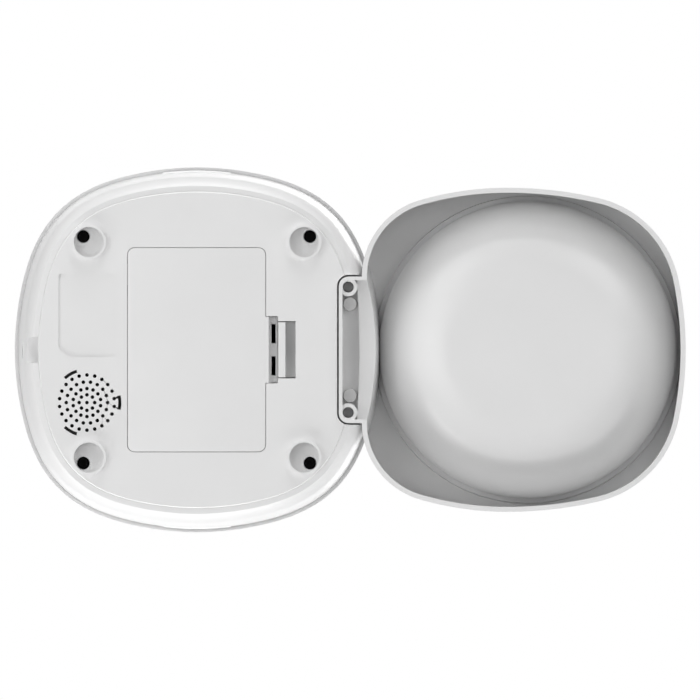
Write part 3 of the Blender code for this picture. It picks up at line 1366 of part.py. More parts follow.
def involute_point(base, radius):
    """The turn, from where it leaves the base circle, at which an involute reaches a radius."""
    if radius <= base:
        return 0.0
    roll = sqrt((radius / base) ** 2 - 1)
    return roll - atan2(roll, 1.0)


def gear_outline(teeth, phase, x, y):
    """An involute gear in plan, one tooth centred on the phase angle, thinned by the backlash."""
    pitch_radius = GEAR_MODULE * teeth / 2
    base = pitch_radius * cos(PRESSURE_ANGLE)
    tip = tip_radius(teeth)
    root = pitch_radius - GEAR_MODULE * DEDENDUM_SHARE
    half_pitch_turn = pi / (2 * teeth) - BACKLASH / 2 / pitch_radius
    start_turn = half_pitch_turn + involute_point(base, pitch_radius)
    foot = max(base, root)
    flank = [foot + (tip - foot) * k / FLANK_STEPS for k in range(FLANK_STEPS + 1)]
    half_tooth = [(radius, start_turn - involute_point(base, radius)) for radius in flank]
    if base - root > BACKLASH:
        half_tooth.insert(0, (root, start_turn))
    points = []
    for tooth in range(teeth):
        middle = phase + 2 * pi * tooth / teeth
        rising = [(radius, middle - turn_angle) for radius, turn_angle in half_tooth]
        falling = [(radius, middle + turn_angle) for radius, turn_angle in reversed(half_tooth)]
        for radius, angle in rising + falling:
            points.append((x + radius * cos(angle), y + radius * sin(angle)))
    return points


def output_gear(parent):
    (x, y), _, _ = gear_places()
    gear = prism(gear_outline(LARGE_TEETH, TRAIN_TURN, x, y), OUTPUT_LOW, OUTPUT_TOP)
    middle_z = OUTPUT_LOW + GEAR_THICK / 2
    shaft_top = CHAMBER_BOTTOM_Z + CHAMBER_FLOOR + ROTOR_GAP + SHAFT_IN_ROTOR
    shaft = prism(circle(SHAFT_RADIUS, SHAFT_SIDES, x, y), middle_z, shaft_top)
    journal_radius = SHAFT_RADIUS * cos(pi / SHAFT_SIDES) - SLIDE_GAP
    journal = cylinder(journal_radius, TRAY_FLOOR_TOP + GAP, middle_z, x, y, SMALL_TURN)
    fuse(gear, shaft, journal)
    return name_piece(gear, "output_gear", "gear_plastic", (x, y, OUTPUT_LOW), parent)


def compound_gear():
    _, (x, y), _ = gear_places()
    small_phase = TRAIN_TURN + pi + pi / SMALL_TEETH
    large_phase = pi - TRAIN_TURN
    gear = prism(gear_outline(LARGE_TEETH, large_phase, x, y), LARGE_LOW, LARGE_TOP)
    small = prism(gear_outline(SMALL_TEETH, small_phase, x, y), LARGE_TOP - GEAR_THICK / 2, OUTPUT_TOP)
    fuse(gear, small)
    cut(gear, cylinder(AXLE_RADIUS + GAP, LARGE_LOW - OVERRUN, OUTPUT_TOP + OVERRUN, x, y, SMALL_TURN))
    return name_piece(gear, "compound_gear", "gear_plastic", (x, y, LARGE_LOW))


def motor_pinion():
    _, _, (x, y) = gear_places()
    phase = 2 * pi - TRAIN_TURN + pi / SMALL_TEETH
    gear = prism(gear_outline(SMALL_TEETH, phase, x, y), LARGE_LOW, LARGE_TOP)
    bore_radius = MOTOR_SHAFT_RADIUS + GAP
    cut(gear, cylinder(bore_radius, LARGE_LOW - OVERRUN, LARGE_TOP + OVERRUN, x, y, FINE_TURN))
    return name_piece(gear, "motor_pinion", "gear_plastic", (x, y, LARGE_LOW))


def compound_axle():
    _, (x, y), _ = gear_places()
    pin = cylinder(AXLE_RADIUS, TRAY_FLOOR_LOW, COVER_PLATE_TOP, x, y, SMALL_TURN)
    return name_piece(pin, "compound_axle", "steel")


def gearbox():
    output, middle, last = gear_places()
    outer = gearbox_discs(GEARBOX_WALL)
    tray = hull_prism(outer, TRAY_FLOOR_LOW, COVER_PLATE_LOW - GAP, LARGE_TURN)
    cut(tray, hull_prism(gearbox_discs(0.0), TRAY_FLOOR_TOP, COVER_PLATE_LOW + OVERRUN, LARGE_TURN))
    low_z = TRAY_FLOOR_LOW - OVERRUN
    high_z = TRAY_FLOOR_TOP + OVERRUN / 4
    cut(tray, cylinder(AXLE_RADIUS + GAP, low_z, high_z, *middle, SMALL_TURN))
    cut(tray, cylinder(MOTOR_BOSS_RADIUS + GAP, low_z, high_z, *last, MIDDLE_TURN))
    name_piece(tray, "gearbox_base", "inner_plastic")
    plate = hull_prism(outer, COVER_PLATE_LOW, COVER_PLATE_TOP, LARGE_TURN)
    low_z = COVER_PLATE_LOW - OVERRUN
    high_z = COVER_PLATE_TOP + OVERRUN
    cut(plate, cylinder(AXLE_RADIUS + GAP, low_z, high_z, *middle, SMALL_TURN))
    cut(plate, cylinder(SHAFT_RADIUS + SLIDE_GAP, low_z, high_z, *output, MIDDLE_TURN))
    name_piece(plate, "gearbox_cover", "inner_plastic")


def drive_motor():
    _, _, (x, y) = gear_places()
    top = TRAY_FLOOR_LOW - GAP
    profile = [
        (MOTOR_RADIUS - MOTOR_BOSS_LONG, top - MOTOR_LONG),
        (MOTOR_RADIUS, top - MOTOR_LONG + MOTOR_BOSS_LONG),
        (MOTOR_RADIUS, top),
        (MOTOR_BOSS_RADIUS, top),
        (MOTOR_BOSS_RADIUS, top + MOTOR_BOSS_LONG),
        (MOTOR_SHAFT_RADIUS, top + MOTOR_BOSS_LONG),
        (MOTOR_SHAFT_RADIUS, LARGE_TOP),
    ]
    return name_piece(turned(profile, x, y, MIDDLE_TURN), "drive_motor", "steel")


# Hopper, lid, seal, desiccant


def blend_ring(share, half, radius, z):
    """A ring part way from a circle to the tower's outline."""
    points = []
    for k in range(BODY_STEPS):
        angle = 2 * pi * k / BODY_STEPS
        reach = radius + (body_radius(angle, half) - radius) * share
        points.append(Vector((reach * cos(angle), BODY_Y + reach * sin(angle), z)))
    return points


def hopper():
    low_z = DECK_Z + DECK_THICK + GAP
    throat_z = low_z + THROAT_HIGH
    outer_throat = THROAT_RADIUS + HOPPER_WALL
    inner_half = HOPPER_HALF - HOPPER_WALL
    rings = [
        blend_ring(0.0, HOPPER_HALF, outer_throat, low_z),
        blend_ring(0.0, HOPPER_HALF, outer_throat, throat_z),
        blend_ring(1.0, HOPPER_HALF, outer_throat, HOPPER_FUNNEL_Z),
        blend_ring(1.0, HOPPER_HALF, outer_throat, HOPPER_TOP_Z),
        blend_ring(1.0, inner_half, THROAT_RADIUS, HOPPER_TOP_Z),
        blend_ring(1.0, inner_half, THROAT_RADIUS, HOPPER_FUNNEL_Z + HOPPER_WALL / 2),
        blend_ring(0.0, inner_half, THROAT_RADIUS, throat_z + HOPPER_WALL / 2),
        blend_ring(0.0, inner_half, THROAT_RADIUS, low_z),
    ]
    return name_piece(loft(rings, closed=True), "hopper", "smoked_clear", (0.0, BODY_Y, low_z))


def lid(parent):
    profile = [
        (SKIRT_HALF - SKIRT_WALL, LID_CEILING_Z),
        (SKIRT_HALF - SKIRT_WALL, SKIRT_BOTTOM_Z),
        (SKIRT_HALF, SKIRT_BOTTOM_Z),
        (SKIRT_HALF, LID_LOW_Z),
        (LID_HALF - COVER_EDGE, LID_LOW_Z),
        (LID_HALF, LID_LOW_Z + COVER_EDGE),
    ]
    for k in range(LID_EDGE_STEPS + 1):
        angle = pi / 2 * k / LID_EDGE_STEPS
        profile.append((LID_HALF - LID_EDGE * (1 - cos(angle)), LID_TOP_Z - LID_EDGE * (1 - sin(angle))))
    profile += [(LID_PANEL_HALF + LID_PANEL_DEEP, LID_TOP_Z), (LID_PANEL_HALF, LID_TOP_Z - LID_PANEL_DEEP)]
    cap = body_loft(profile)
    ring_outer = DESICCANT_RADIUS + GAP + DESICCANT_RING_WALL
    ring = turned([
        (ring_outer, LID_CEILING_Z - DESICCANT_RING_HIGH),
        (ring_outer, LID_CEILING_Z + LID_WALL / 2),
        (DESICCANT_RADIUS + GAP, LID_CEILING_Z + LID_WALL / 2),
        (DESICCANT_RADIUS + GAP, LID_CEILING_Z - DESICCANT_RING_HIGH),
    ], 0.0, BODY_Y, LARGE_TURN, closed=True)
    fuse(cap, ring)
    grips = []
    for side in (-1, 1):
        near, far = sorted((side * (LID_HALF - GRIP_DEEP), side * (LID_HALF + BODY_HALF)))
        grips.append(box((near, BODY_Y - GRIP_HALF_LONG, LID_LOW_Z - OVERRUN),
                         (far, BODY_Y + GRIP_HALF_LONG, LID_LOW_Z + GRIP_HIGH)))
    cut(cap, gather(grips))
    return name_piece(cap, "lid", "white_shell", (0.0, BODY_Y, LID_LOW_Z), parent)


def lid_seal(parent):
    low_z = SKIRT_BOTTOM_Z + SEAL_LOW
    inner = SKIRT_HALF + GAP
    profile = [
        (inner, low_z),
        (SEAL_HALF - SEAL_BEAD, low_z),
        (SEAL_HALF, low_z + SEAL_HIGH / 2),
        (SEAL_HALF - SEAL_BEAD, low_z + SEAL_HIGH),
        (inner, low_z + SEAL_HIGH),
    ]
    return name_piece(body_loft(profile, closed=True), "lid_seal", "soft_grey", (0.0, BODY_Y, low_z), parent)


def desiccant(parent):
    top = LID_CEILING_Z - GAP
    low = top - DESICCANT_HIGH
    inner = DESICCANT_RADIUS - DESICCANT_WALL
    cup = turned([
        (inner, top - DESICCANT_WALL),
        (inner, low),
        (DESICCANT_RADIUS, low),
        (DESICCANT_RADIUS, top),
    ], 0.0, BODY_Y, LARGE_TURN)
    name_piece(cup, "desiccant_box", "white_shell", (0.0, BODY_Y, low), parent)
    thick = DESICCANT_COVER_THICK
    cover_top = low - GAP
    cover_low = cover_top - thick
    cover = cylinder(DESICCANT_RADIUS, cover_low, cover_top, 0.0, BODY_Y)
    fuse(cover, cylinder(inner - 2 * GAP, cover_top - thick / 2, cover_top + thick, 0.0, BODY_Y))
    slots = []
    for k in range(DESICCANT_SLOTS):
        outline = sector(DESICCANT_SLOT_INNER, DESICCANT_SLOT_OUTER, 2 * pi * k / DESICCANT_SLOTS,
                         DESICCANT_SLOT_HALF, DESICCANT_SLOT_STEPS, 0.0, BODY_Y)
        slots.append(prism(outline, cover_low - OVERRUN, cover_top + OVERRUN))
    cut(cover, gather(slots))
    bar = box((-DESICCANT_SLOT_INNER, BODY_Y - thick / 2, cover_low - thick),
              (DESICCANT_SLOT_INNER, BODY_Y + thick / 2, cover_low + thick / 2))
    fuse(cover, bar)
    return name_piece(cover, "desiccant_cover", "white_shell", (0.0, BODY_Y, cover_low), parent)


# Bowl holder, magnets, bowl


def arc_points(centre, radius, start, end, steps):
    """Points of an arc, its angles measured from +X towards +Y, without its last point."""
    return [
        (centre[0] + radius * cos(start + (end - start) * k / steps),
         centre[1] + radius * sin(start + (end - start) * k / steps))
        for k in range(steps)
    ]


def touching_arc(first_centre, first_radius, second_centre, second_radius, radius, side):
    """The centre of the arc that runs smoothly into two larger arcs which curve round it."""
    gap_x = second_centre[0] - first_centre[0]
    gap_y = second_centre[1] - first_centre[1]
    apart = hypot(gap_x, gap_y)
    near = first_radius - radius
    far = second_radius - radius
    along = (near ** 2 - far ** 2 + apart ** 2) / (2 * apart)
    off = sqrt(near ** 2 - along ** 2)
    return (first_centre[0] + (gap_x * along - side * gap_y * off) / apart,
            first_centre[1] + (gap_y * along + side * gap_x * off) / apart)


def bearing(origin, point):
    return atan2(point[1] - origin[1], point[0] - origin[0])


def holder_outline(inset):
    """The holder in plan: a front arc, two front corners, two sides that curve faster behind the widest
    place, and two rear corners that run into a straight rear edge. Every arc is drawn in by the inset."""
    side_centre = (HOLDER_HALF - HOLDER_SIDE_RADIUS, HOLDER_WIDEST_Y)
    front_centre = (0.0, HOLDER_FRONT_Y + HOLDER_FRONT_RADIUS)
    corner = touching_arc(side_centre, HOLDER_SIDE_RADIUS, front_centre, HOLDER_FRONT_RADIUS,
                          HOLDER_CORNER_RADIUS, -1)
    rear_side = (HOLDER_HALF - HOLDER_REAR_SIDE_RADIUS, HOLDER_WIDEST_Y)
    rear_y = HOLDER_REAR_Y - HOLDER_REAR_CORNER_RADIUS
    reach = HOLDER_REAR_SIDE_RADIUS - HOLDER_REAR_CORNER_RADIUS
    rear = (rear_side[0] + sqrt(reach ** 2 - (rear_y - HOLDER_WIDEST_Y) ** 2), rear_y)
    front_turn = bearing(front_centre, corner)
    side_turn = bearing(side_centre, corner)
    rear_turn = bearing(rear_side, rear)
    half = arc_points(front_centre, HOLDER_FRONT_RADIUS - inset, -pi / 2, front_turn, ARC_STEPS // 2)
    half += arc_points(corner, HOLDER_CORNER_RADIUS - inset, front_turn, side_turn, ARC_STEPS)
    half += arc_points(side_centre, HOLDER_SIDE_RADIUS - inset, side_turn, 0.0, ARC_STEPS // 2)
    half += arc_points(rear_side, HOLDER_REAR_SIDE_RADIUS - inset, 0.0, rear_turn, ARC_STEPS // 2)
    half += arc_points(rear, HOLDER_REAR_CORNER_RADIUS - inset, rear_turn, pi / 2, ARC_STEPS)
    half.append((rear[0], HOLDER_REAR_Y - inset))
    return half + [(-x, y) for x, y in reversed(half[1:])]


def base_envelope(offset):
    """What the holder leaves free round the base: its outer side, moved outward, and the space above."""
    profile = [(half, z - HOLDER_CLEAR) for half, z in base_outer(offset)]
    top = HOLDER_TOP_Z + 2 * OVERRUN
    return body_loft([(BODY_Y, profile[0][1])] + profile + [(profile[-1][0], profile[-1][1] + top)])


def dish_profile(offset, top_z):
    """The bowl recess's under side: a flat middle, a quarter-ellipse rise and the step of the seat."""
    seat_z = HOLDER_TOP_Z - SEAT_DEEP - DISH_WALL + offset
    radius = DISH_RADIUS - offset
    low_z = DISH_BOTTOM_Z + offset
    points = []
    for k in range(DISH_STEPS + 1):
        angle = pi / 2 * k / DISH_STEPS
        across = DISH_FLAT_RADIUS + (radius - DISH_FLAT_RADIUS) * sin(angle)
        points.append((across, low_z + (seat_z - low_z) * (1 - cos(angle))))
    step_radius = RECESS_RADIUS - (RECESS_WALL if offset else 0.0)
    points += [(step_radius, seat_z), (step_radius, top_z)]
    return points


def tab_pocket_outline():
    """The deep part of the tab's hollow in plan; its front edge is a shallow arc."""
    half = TAB_HALF - TAB_WALL
    front = []
    for k in range(ARC_STEPS + 1):
        x = half * (2 * k / ARC_STEPS - 1)
        front.append((x, TAB_STEP_Y + TAB_STEP_RADIUS - sqrt(TAB_STEP_RADIUS ** 2 - x ** 2)))
    return front + mirrored(rear_corner(half, TAB_REACH_Y - TAB_WALL, TAB_CORNER - TAB_WALL))


def bowl_holder():
    edge_z = HOLDER_TOP_Z - HOLDER_EDGE
    rings = [flat_ring(holder_outline(HOLDER_FLARE), 0.0)]
    for k in range(HOLDER_EDGE_STEPS + 1):
        angle = pi / 2 * k / HOLDER_EDGE_STEPS
        inset = HOLDER_EDGE * (1 - cos(angle))
        rings.append(flat_ring(holder_outline(inset), edge_z + HOLDER_EDGE * sin(angle)))
    holder = loft(rings)
    cut(holder, base_envelope(HOLDER_CLEAR))
    fuse(holder, prism(tab_outline(0.0, FRONT_Y), 0.0, TAB_LOW))
    fuse(holder, prism(tab_outline(0.0, TAB_STEP_Y), TAB_LOW / 2, TAB_HIGH))
    cavity = loft([
        flat_ring(holder_outline(HOLDER_FLARE + HOLDER_RIM), -OVERRUN / 8),
        flat_ring(holder_outline(HOLDER_SKIRT), HOLDER_TOP_Z - HOLDER_DECK),
    ])
    cut(cavity, base_envelope(HOLDER_CLEAR + HOLDER_REAR_WALL))
    cut(cavity, turned(dish_profile(0.0, HOLDER_TOP_Z), 0.0, BOWL_Y, DISH_TURN_STEPS))
    cut(holder, cavity)
    cut(holder, prism(tab_outline(TAB_WALL, FRONT_Y), -OVERRUN, TAB_LOW - TAB_CEILING))
    cut(holder, prism(tab_pocket_outline(), -OVERRUN, TAB_HIGH - TAB_CEILING))
    fuse(holder, cylinders(boss_places(), BOSS_RADIUS, BOSS_END_Z, TAB_HIGH - TAB_CEILING / 2, MIDDLE_TURN))
    cut(holder, cylinders(boss_places(), BOSS_BORE, BOSS_END_Z - OVERRUN, TAB_HIGH + OVERRUN, SMALL_TURN))
    cut(holder, turned(dish_profile(DISH_WALL, HOLDER_TOP_Z + OVERRUN), 0.0, BOWL_Y, DISH_TURN_STEPS))
    return name_piece(holder, "bowl_holder", "white_shell", (0.0, BOSS_Y, 0.0))


def magnets(holder):
    holder_top = TAB_HIGH - TAB_CEILING - GAP
    base_low = TAB_HIGH + TAB_GAP + NOTCH_WALL + GAP
    for side, name in ((-1, "left"), (1, "right")):
        x = side * MAGNET_X
        disc = cylinder(MAGNET_RADIUS, holder_top - MAGNET_THICK, holder_top, x, MAGNET_Y, SMALL_TURN)
        name_piece(disc, f"holder_magnet_{name}", "magnet", (x, MAGNET_Y, holder_top), holder)
        mate = cylinder(MAGNET_RADIUS, base_low, base_low + MAGNET_THICK, x, MAGNET_Y, SMALL_TURN)
        name_piece(mate, f"base_magnet_{name}", "magnet", (x, MAGNET_Y, base_low))


def steel_bowl(holder):
    flange_low = HOLDER_TOP_Z - SEAT_DEEP + GAP
    flange_top = flange_low + FLANGE_THICK
    throat = DISH_RADIUS - DISH_WALL - BOWL_INSET
    floor_low = DISH_BOTTOM_Z + DISH_WALL + BOWL_SHEET
    flat = DISH_FLAT_RADIUS - DISH_WALL
    outer = []
    for k in range(DISH_STEPS + 1):
        angle = pi / 2 * k / DISH_STEPS
        across = flat + (throat - flat) * sin(angle)
        outer.append((across, floor_low + (flange_low - floor_low) * (1 - cos(angle))))
    inner = []
    for k, (radius, z) in enumerate(outer):
        inner.append((radius - BOWL_SHEET, z + BOWL_SHEET * (1 - k / DISH_STEPS)))
    inner[-1] = (throat - BOWL_SHEET, flange_top)
    lip_top = flange_top + FLANGE_LIP - FLANGE_THICK / 2
    flange = [
        (FLANGE_RADIUS, flange_low),
        (FLANGE_RADIUS, lip_top),
        (FLANGE_RADIUS - FLANGE_THICK, lip_top),
        (FLANGE_RADIUS - 2 * FLANGE_THICK, flange_top),
    ]
    bowl = turned(outer + flange + inner[::-1], 0.0, BOWL_Y, DISH_TURN_STEPS)
    return name_piece(bowl, "steel_bowl", "bowl_steel", (0.0, BOWL_Y, flange_low), holder)


def build():
    clear_scene()
    bottom_cover()
    cover_screws()
    base_housing()
    door = battery_door()
    battery_latch(door)
    battery_box()
    battery_cells()
    battery_contacts()
    speaker()
    main_board()
    power_socket()
    body_shell()
    feed_button()
    button_board()
    indicator_window()
    outlet_chute()
    chute_sensors()
    inner_deck()
    rotor_chamber()
    wheel = rotor()
    agitator(wheel)
    output_gear(wheel)
    compound_gear()
    motor_pinion()
    compound_axle()
    gearbox()
    drive_motor()
    bucket = hopper()
    cap = lid(bucket)
    lid_seal(cap)
    desiccant(cap)
    holder = bowl_holder()
    magnets(holder)
    steel_bowl(holder)


build()
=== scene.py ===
"""Looks of the smart pet feeder: moulded pieces with their fine forms, finishes, studio light and the camera
under the object. Metres, in the frame of the CAD model, whose driving sizes come first."""

import json
from math import asin, atan2, cos, hypot, pi, radians, sin, sqrt

import bmesh
import bpy
from mathutils import Matrix, Vector


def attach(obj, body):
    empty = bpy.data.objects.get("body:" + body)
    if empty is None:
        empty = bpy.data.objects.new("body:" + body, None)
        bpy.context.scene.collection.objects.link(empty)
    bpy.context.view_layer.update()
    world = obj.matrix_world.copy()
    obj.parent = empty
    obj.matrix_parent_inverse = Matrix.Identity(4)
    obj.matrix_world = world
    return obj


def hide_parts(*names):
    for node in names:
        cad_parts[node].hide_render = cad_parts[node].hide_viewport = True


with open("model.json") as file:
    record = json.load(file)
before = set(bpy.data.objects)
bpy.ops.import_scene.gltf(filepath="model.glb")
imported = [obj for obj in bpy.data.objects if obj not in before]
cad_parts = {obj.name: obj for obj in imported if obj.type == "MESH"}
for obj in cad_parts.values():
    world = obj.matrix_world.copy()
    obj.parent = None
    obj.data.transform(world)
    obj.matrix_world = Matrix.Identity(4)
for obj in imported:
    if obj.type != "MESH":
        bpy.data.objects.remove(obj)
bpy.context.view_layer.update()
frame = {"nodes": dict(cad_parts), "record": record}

# Gaps and overruns
GAP = 0.0003
SLIDE_GAP = 0.0006
OVERRUN = 0.004
WELD = 0.000002
SHARP_ANGLE = radians(28)
BEVEL_ANGLE = radians(50)
FLAT_ANGLE = radians(0.05)

# Steps round the turned and drilled pieces
LARGE_TURN = 64
MIDDLE_TURN = 48
SMALL_TURN = 32
FINE_TURN = 28
TINY_TURN = 16
ARC_STEPS = 24

# Battery cells, their contacts and the width of their box
CELL_RADIUS = 0.0131
CELL_LONG = 0.0490
CELL_NUB_RADIUS = 0.0036
CELL_NUB_LONG = 0.0010
CELL_PITCH = 0.0275
CELL_STEPS = 64
BOX_INNER_WIDE = 0.06
CONTACT_THICK = 0.0005
CONTACT_HIGH = 0.0180
CONTACT_SPRING_RADIUS = 0.0045

# Battery door, its opening and its latch
DOOR_WIDE = 0.0645
DOOR_HALF_LONG = 0.04705
DOOR_HALF_WIDE = 0.03175
DOOR_CORNER = 0.0030
DOOR_GAP = 0.0005
DOOR_CORNER_STEPS = 8
DOOR_NOSE_HALF = 0.0151
DOOR_NOSE_OUT = 0.0012
VALLEY_WIDE = 0.0045
VALLEY_HIGH = 0.0066
VALLEY_WALL = 0.0012
VALLEY_SLOT_INNER = 0.0030
VALLEY_SLOT_OUTER = 0.0119
VALLEY_SLOT_WIDE = 0.0019
LATCH_HALF = 0.0128
LATCH_LEG = 0.0011
LATCH_TAB_THICK = 0.0016
LATCH_RIDGE = 0.0008
FINGER_HALF = 0.01325
POCKET_HALF = DOOR_NOSE_HALF + DOOR_GAP
POCKET_WALL = 0.0015
DOOR_TONGUE_INNER = 0.0300
DOOR_TONGUE_OUTER = 0.0400
DOOR_TONGUE_OUT = 0.0016
DOOR_TONGUE_IN = 0.0060
DOOR_TONGUE_THICK = 0.0012

# Speaker behind the door, and the cover's edge behind the speaker
SPEAKER_RADIUS = 0.0155
SPEAKER_HIGH = 0.0080
SPEAKER_MAGNET_RADIUS = 0.0090
SPEAKER_RIM_THICK = 0.0020
SPEAKER_SEAT_HIGH = 0.0035
SPEAKER_SEAT_RADIUS = 0.017
COVER_HALF = 0.0732

# Tower outline: a rounded square whose radius swells towards its corners, its front face held in place
FRONT_Y = -0.0140
BODY_HALF = 0.085
BODY_Y = FRONT_Y + BODY_HALF
BODY_STEPS = 240
CORNER_SWELL = 0.00637
CORNER_EASE = 0.00072

# Bowl recess and bowl
RECESS_RADIUS = 0.0717
SEAT_RADIUS = 0.0693
BOWL_Y = -0.0829
SEAT_DEEP = 0.0030
DISH_RADIUS = 0.0691
DISH_WALL = 0.0017
DISH_BOTTOM_Z = 0.0050
DISH_STEPS = 20
DISH_TURN_STEPS = 160
FLANGE_RADIUS = 0.0684
FLANGE_THICK = 0.0010
BOWL_INSET = 0.0022
BOWL_SHEET = 0.0010

# Bowl holder: arcs round the recess, and a rear edge behind the tower's front
HOLDER_TOP_Z = 0.0480
HOLDER_HALF = 0.0752
HOLDER_WIDEST_Y = -0.0731
HOLDER_FRONT_Y = -0.156
HOLDER_REAR_Y = -0.0057
HOLDER_SIDE_RADIUS = 0.1896
HOLDER_FRONT_RADIUS = 0.1601
HOLDER_CORNER_RADIUS = 0.0493
HOLDER_REAR_SIDE_RADIUS = 0.1460
HOLDER_REAR_CORNER_RADIUS = 0.0373
HOLDER_RIM = 0.0023
HOLDER_SKIRT = 0.0021
HOLDER_DECK = 0.0020
HOLDER_EDGE = 0.0030
HOLDER_EDGE_STEPS = 8
HOLDER_CLEAR = 0.0008
HOLDER_REAR_WALL = 0.0022

# Holder's tab in the base's front notch, with two bosses over pins and two magnets over magnets
TAB_HALF = 0.0340
TAB_REACH_Y = 0.005
TAB_CORNER = 0.0045
TAB_CORNER_STEPS = 8
TAB_WALL = 0.0017
TAB_GAP = 0.0008
TAB_HIGH = 0.0160
TAB_LOW = 0.0112
TAB_CEILING = 0.0018
TAB_STEP_Y = -0.0046
TAB_STEP_RADIUS = 0.4190
NOTCH_WALL = 0.0020
BOSS_RADIUS = 0.00425
BOSS_BORE = 0.0025
BOSS_X = 0.0291
BOSS_Y = 0.0006
BOSS_END_Z = 0.0015
PIN_RADIUS = 0.0021
PIN_END_Z = 0.0105
MAGNET_RADIUS = 0.0032
MAGNET_THICK = 0.0022
MAGNET_X = 0.0213
MAGNET_Y = -0.0002

# Bottom cover, and the cell and door heights over it
COVER_Z = 0.0030
COVER_THICK = 0.0022
COVER_GAP = 0.0004
COVER_EDGE = 0.0003
COVER_TOP_Z = COVER_Z + COVER_THICK
CELL_Z = COVER_TOP_Z + GAP + CELL_RADIUS
POCKET_CEILING_Z = 0.0105
DOOR_FRONT_Y = BODY_Y - DOOR_WIDE / 2
DOOR_REAR_Y = BODY_Y + DOOR_WIDE / 2
NOSE_Y = DOOR_FRONT_Y - DOOR_NOSE_OUT
VALLEY_FRONT_Y = NOSE_Y - VALLEY_WIDE
LATCH_FRONT_Y = 0.02975
FINGER_FRONT_Y = 0.02505

# Foot collars in the cover's corners, and the cover screws in them
COLLAR_RADIUS = 0.00795
COLLAR_BORE = 0.00695
FOOT_EDGE_SPACE = 0.00091
FOOT_REACH = (COVER_HALF + CORNER_SWELL - COLLAR_RADIUS - FOOT_EDGE_SPACE) / sqrt(2)
WELL_DEEP = 0.0060
WELL_FLOOR = 0.0022
SCREW_OFFSET = 0.0026
SCREW_HEAD_RADIUS = 0.0027
SCREW_HEAD_HIGH = 0.0022
SCREW_HOLE_RADIUS = 0.00303
SCREW_TUBE_RADIUS = 0.0047
SCREW_TUBE_TOP_Z = 0.0135
SCREW_SHELF = 0.0015
SCREW_SOCKET_RADIUS = 0.0013
SCREW_SOCKET_DEEP = 0.0014
SCREW_SHANK_RADIUS = 0.0013
SCREW_LONG = 0.0160

# Base housing
BASE_FILLET_HALF = 0.0804
BASE_FILLET_HIGH = 0.0090
BASE_FILLET_TURN = radians(74)
BASE_FILLET_STEPS = 12
BASE_TOP_HALF = 0.0832
BASE_WALL = 0.0022
BASE_LEDGE = 0.0020
SEAM_Z = 0.056
TONGUE_HIGH = 0.0058
TONGUE_WALL = 0.0018
CABLE_NOTCH_WIDE = 0.0120
CABLE_NOTCH_START = 0.0727
CABLE_NOTCH_TOP_Z = 0.0071
POST_RADIUS = 0.0042
POST_HIGH = 0.0260
POST_ROOT_RADIUS = 0.0013
POST_ROOT_REACH = (BASE_FILLET_HALF + CORNER_SWELL - POST_ROOT_RADIUS - GAP) / sqrt(2)

# Speaker grille, in line with the feet, and the label-shaped recess, bare
GRILLE_FOOT_SPACE = 0.00055
GRILLE_X = FOOT_REACH - COLLAR_RADIUS - SPEAKER_SEAT_RADIUS - GRILLE_FOOT_SPACE
GRILLE_Y = 0.1219
GRILLE_HOLE_RADIUS = 0.00086
GRILLE_HOLE_STEPS = 16
GRILLE_ARC_RADIUS = 0.0153
GRILLE_ARC_WIDE = 0.00145
GRILLE_ARC_HALF = radians(12.2)
GRILLE_ARCS = 3
LABEL_DOOR_SPACE = 0.00545
LABEL_WIDE = 0.0264
LABEL_LEFT = -0.0355
LABEL_RIGHT = 0.0040
LABEL_CHAMFER_Y = 0.0054
LABEL_CHAMFER_X = 0.0049
LABEL_DEEP = 0.0007

# Holes of each grille ring: radius, count and the turn of the first one
GRILLE_RINGS = (
    (0.0, 1, 0.0),
    (0.0036, 8, 0.0),
    (0.0065, 14, pi / 2),
    (0.0096, 18, 0.0),
    (0.0128, 22, pi / 2),
)

# Gear train: two like stages at one reach between their axes
GEAR_REACH = 0.0216
TRAIN_TURN = radians(150)
GEAR_TIP_RADIUS = 0.016965
PILLAR_RADIUS = 0.0030

# Heights over the seam: the chute's mouth, the button over it and the deck over the button
CHUTE_MOUTH_Z = 0.0603
CHUTE_HIGH = 0.0364
BUTTON_Z = 0.118
DECK_Z = 0.141
DECK_THICK = 0.0025
CHAMBER_BOTTOM_Z = 0.116
COVER_PLATE_TOP = 0.1132

# Outlet chute from under the rotor's chamber to its mouth, and the light gate on it
CHUTE_HALF = 0.0290
CHUTE_CORNER = 0.0080
CHUTE_CORNER_STEPS = 10
CHUTE_WALL = 0.0020
CHUTE_REAR_Y = 0.051035
CHUTE_REAR_DROP = 0.0030
CHUTE_RISE = (CHAMBER_BOTTOM_Z - CHUTE_REAR_DROP - CHUTE_MOUTH_Z) / (CHUTE_REAR_Y - FRONT_Y)
CHUTE_SET_BACK = 0.0006
SENSOR_SET_BACK = 0.0200
SENSOR_Y = FRONT_Y + SENSOR_SET_BACK
SENSOR_Z = CHUTE_MOUTH_Z + CHUTE_HIGH / 2 + SENSOR_SET_BACK * CHUTE_RISE
SENSOR_LENS_RADIUS = 0.0020

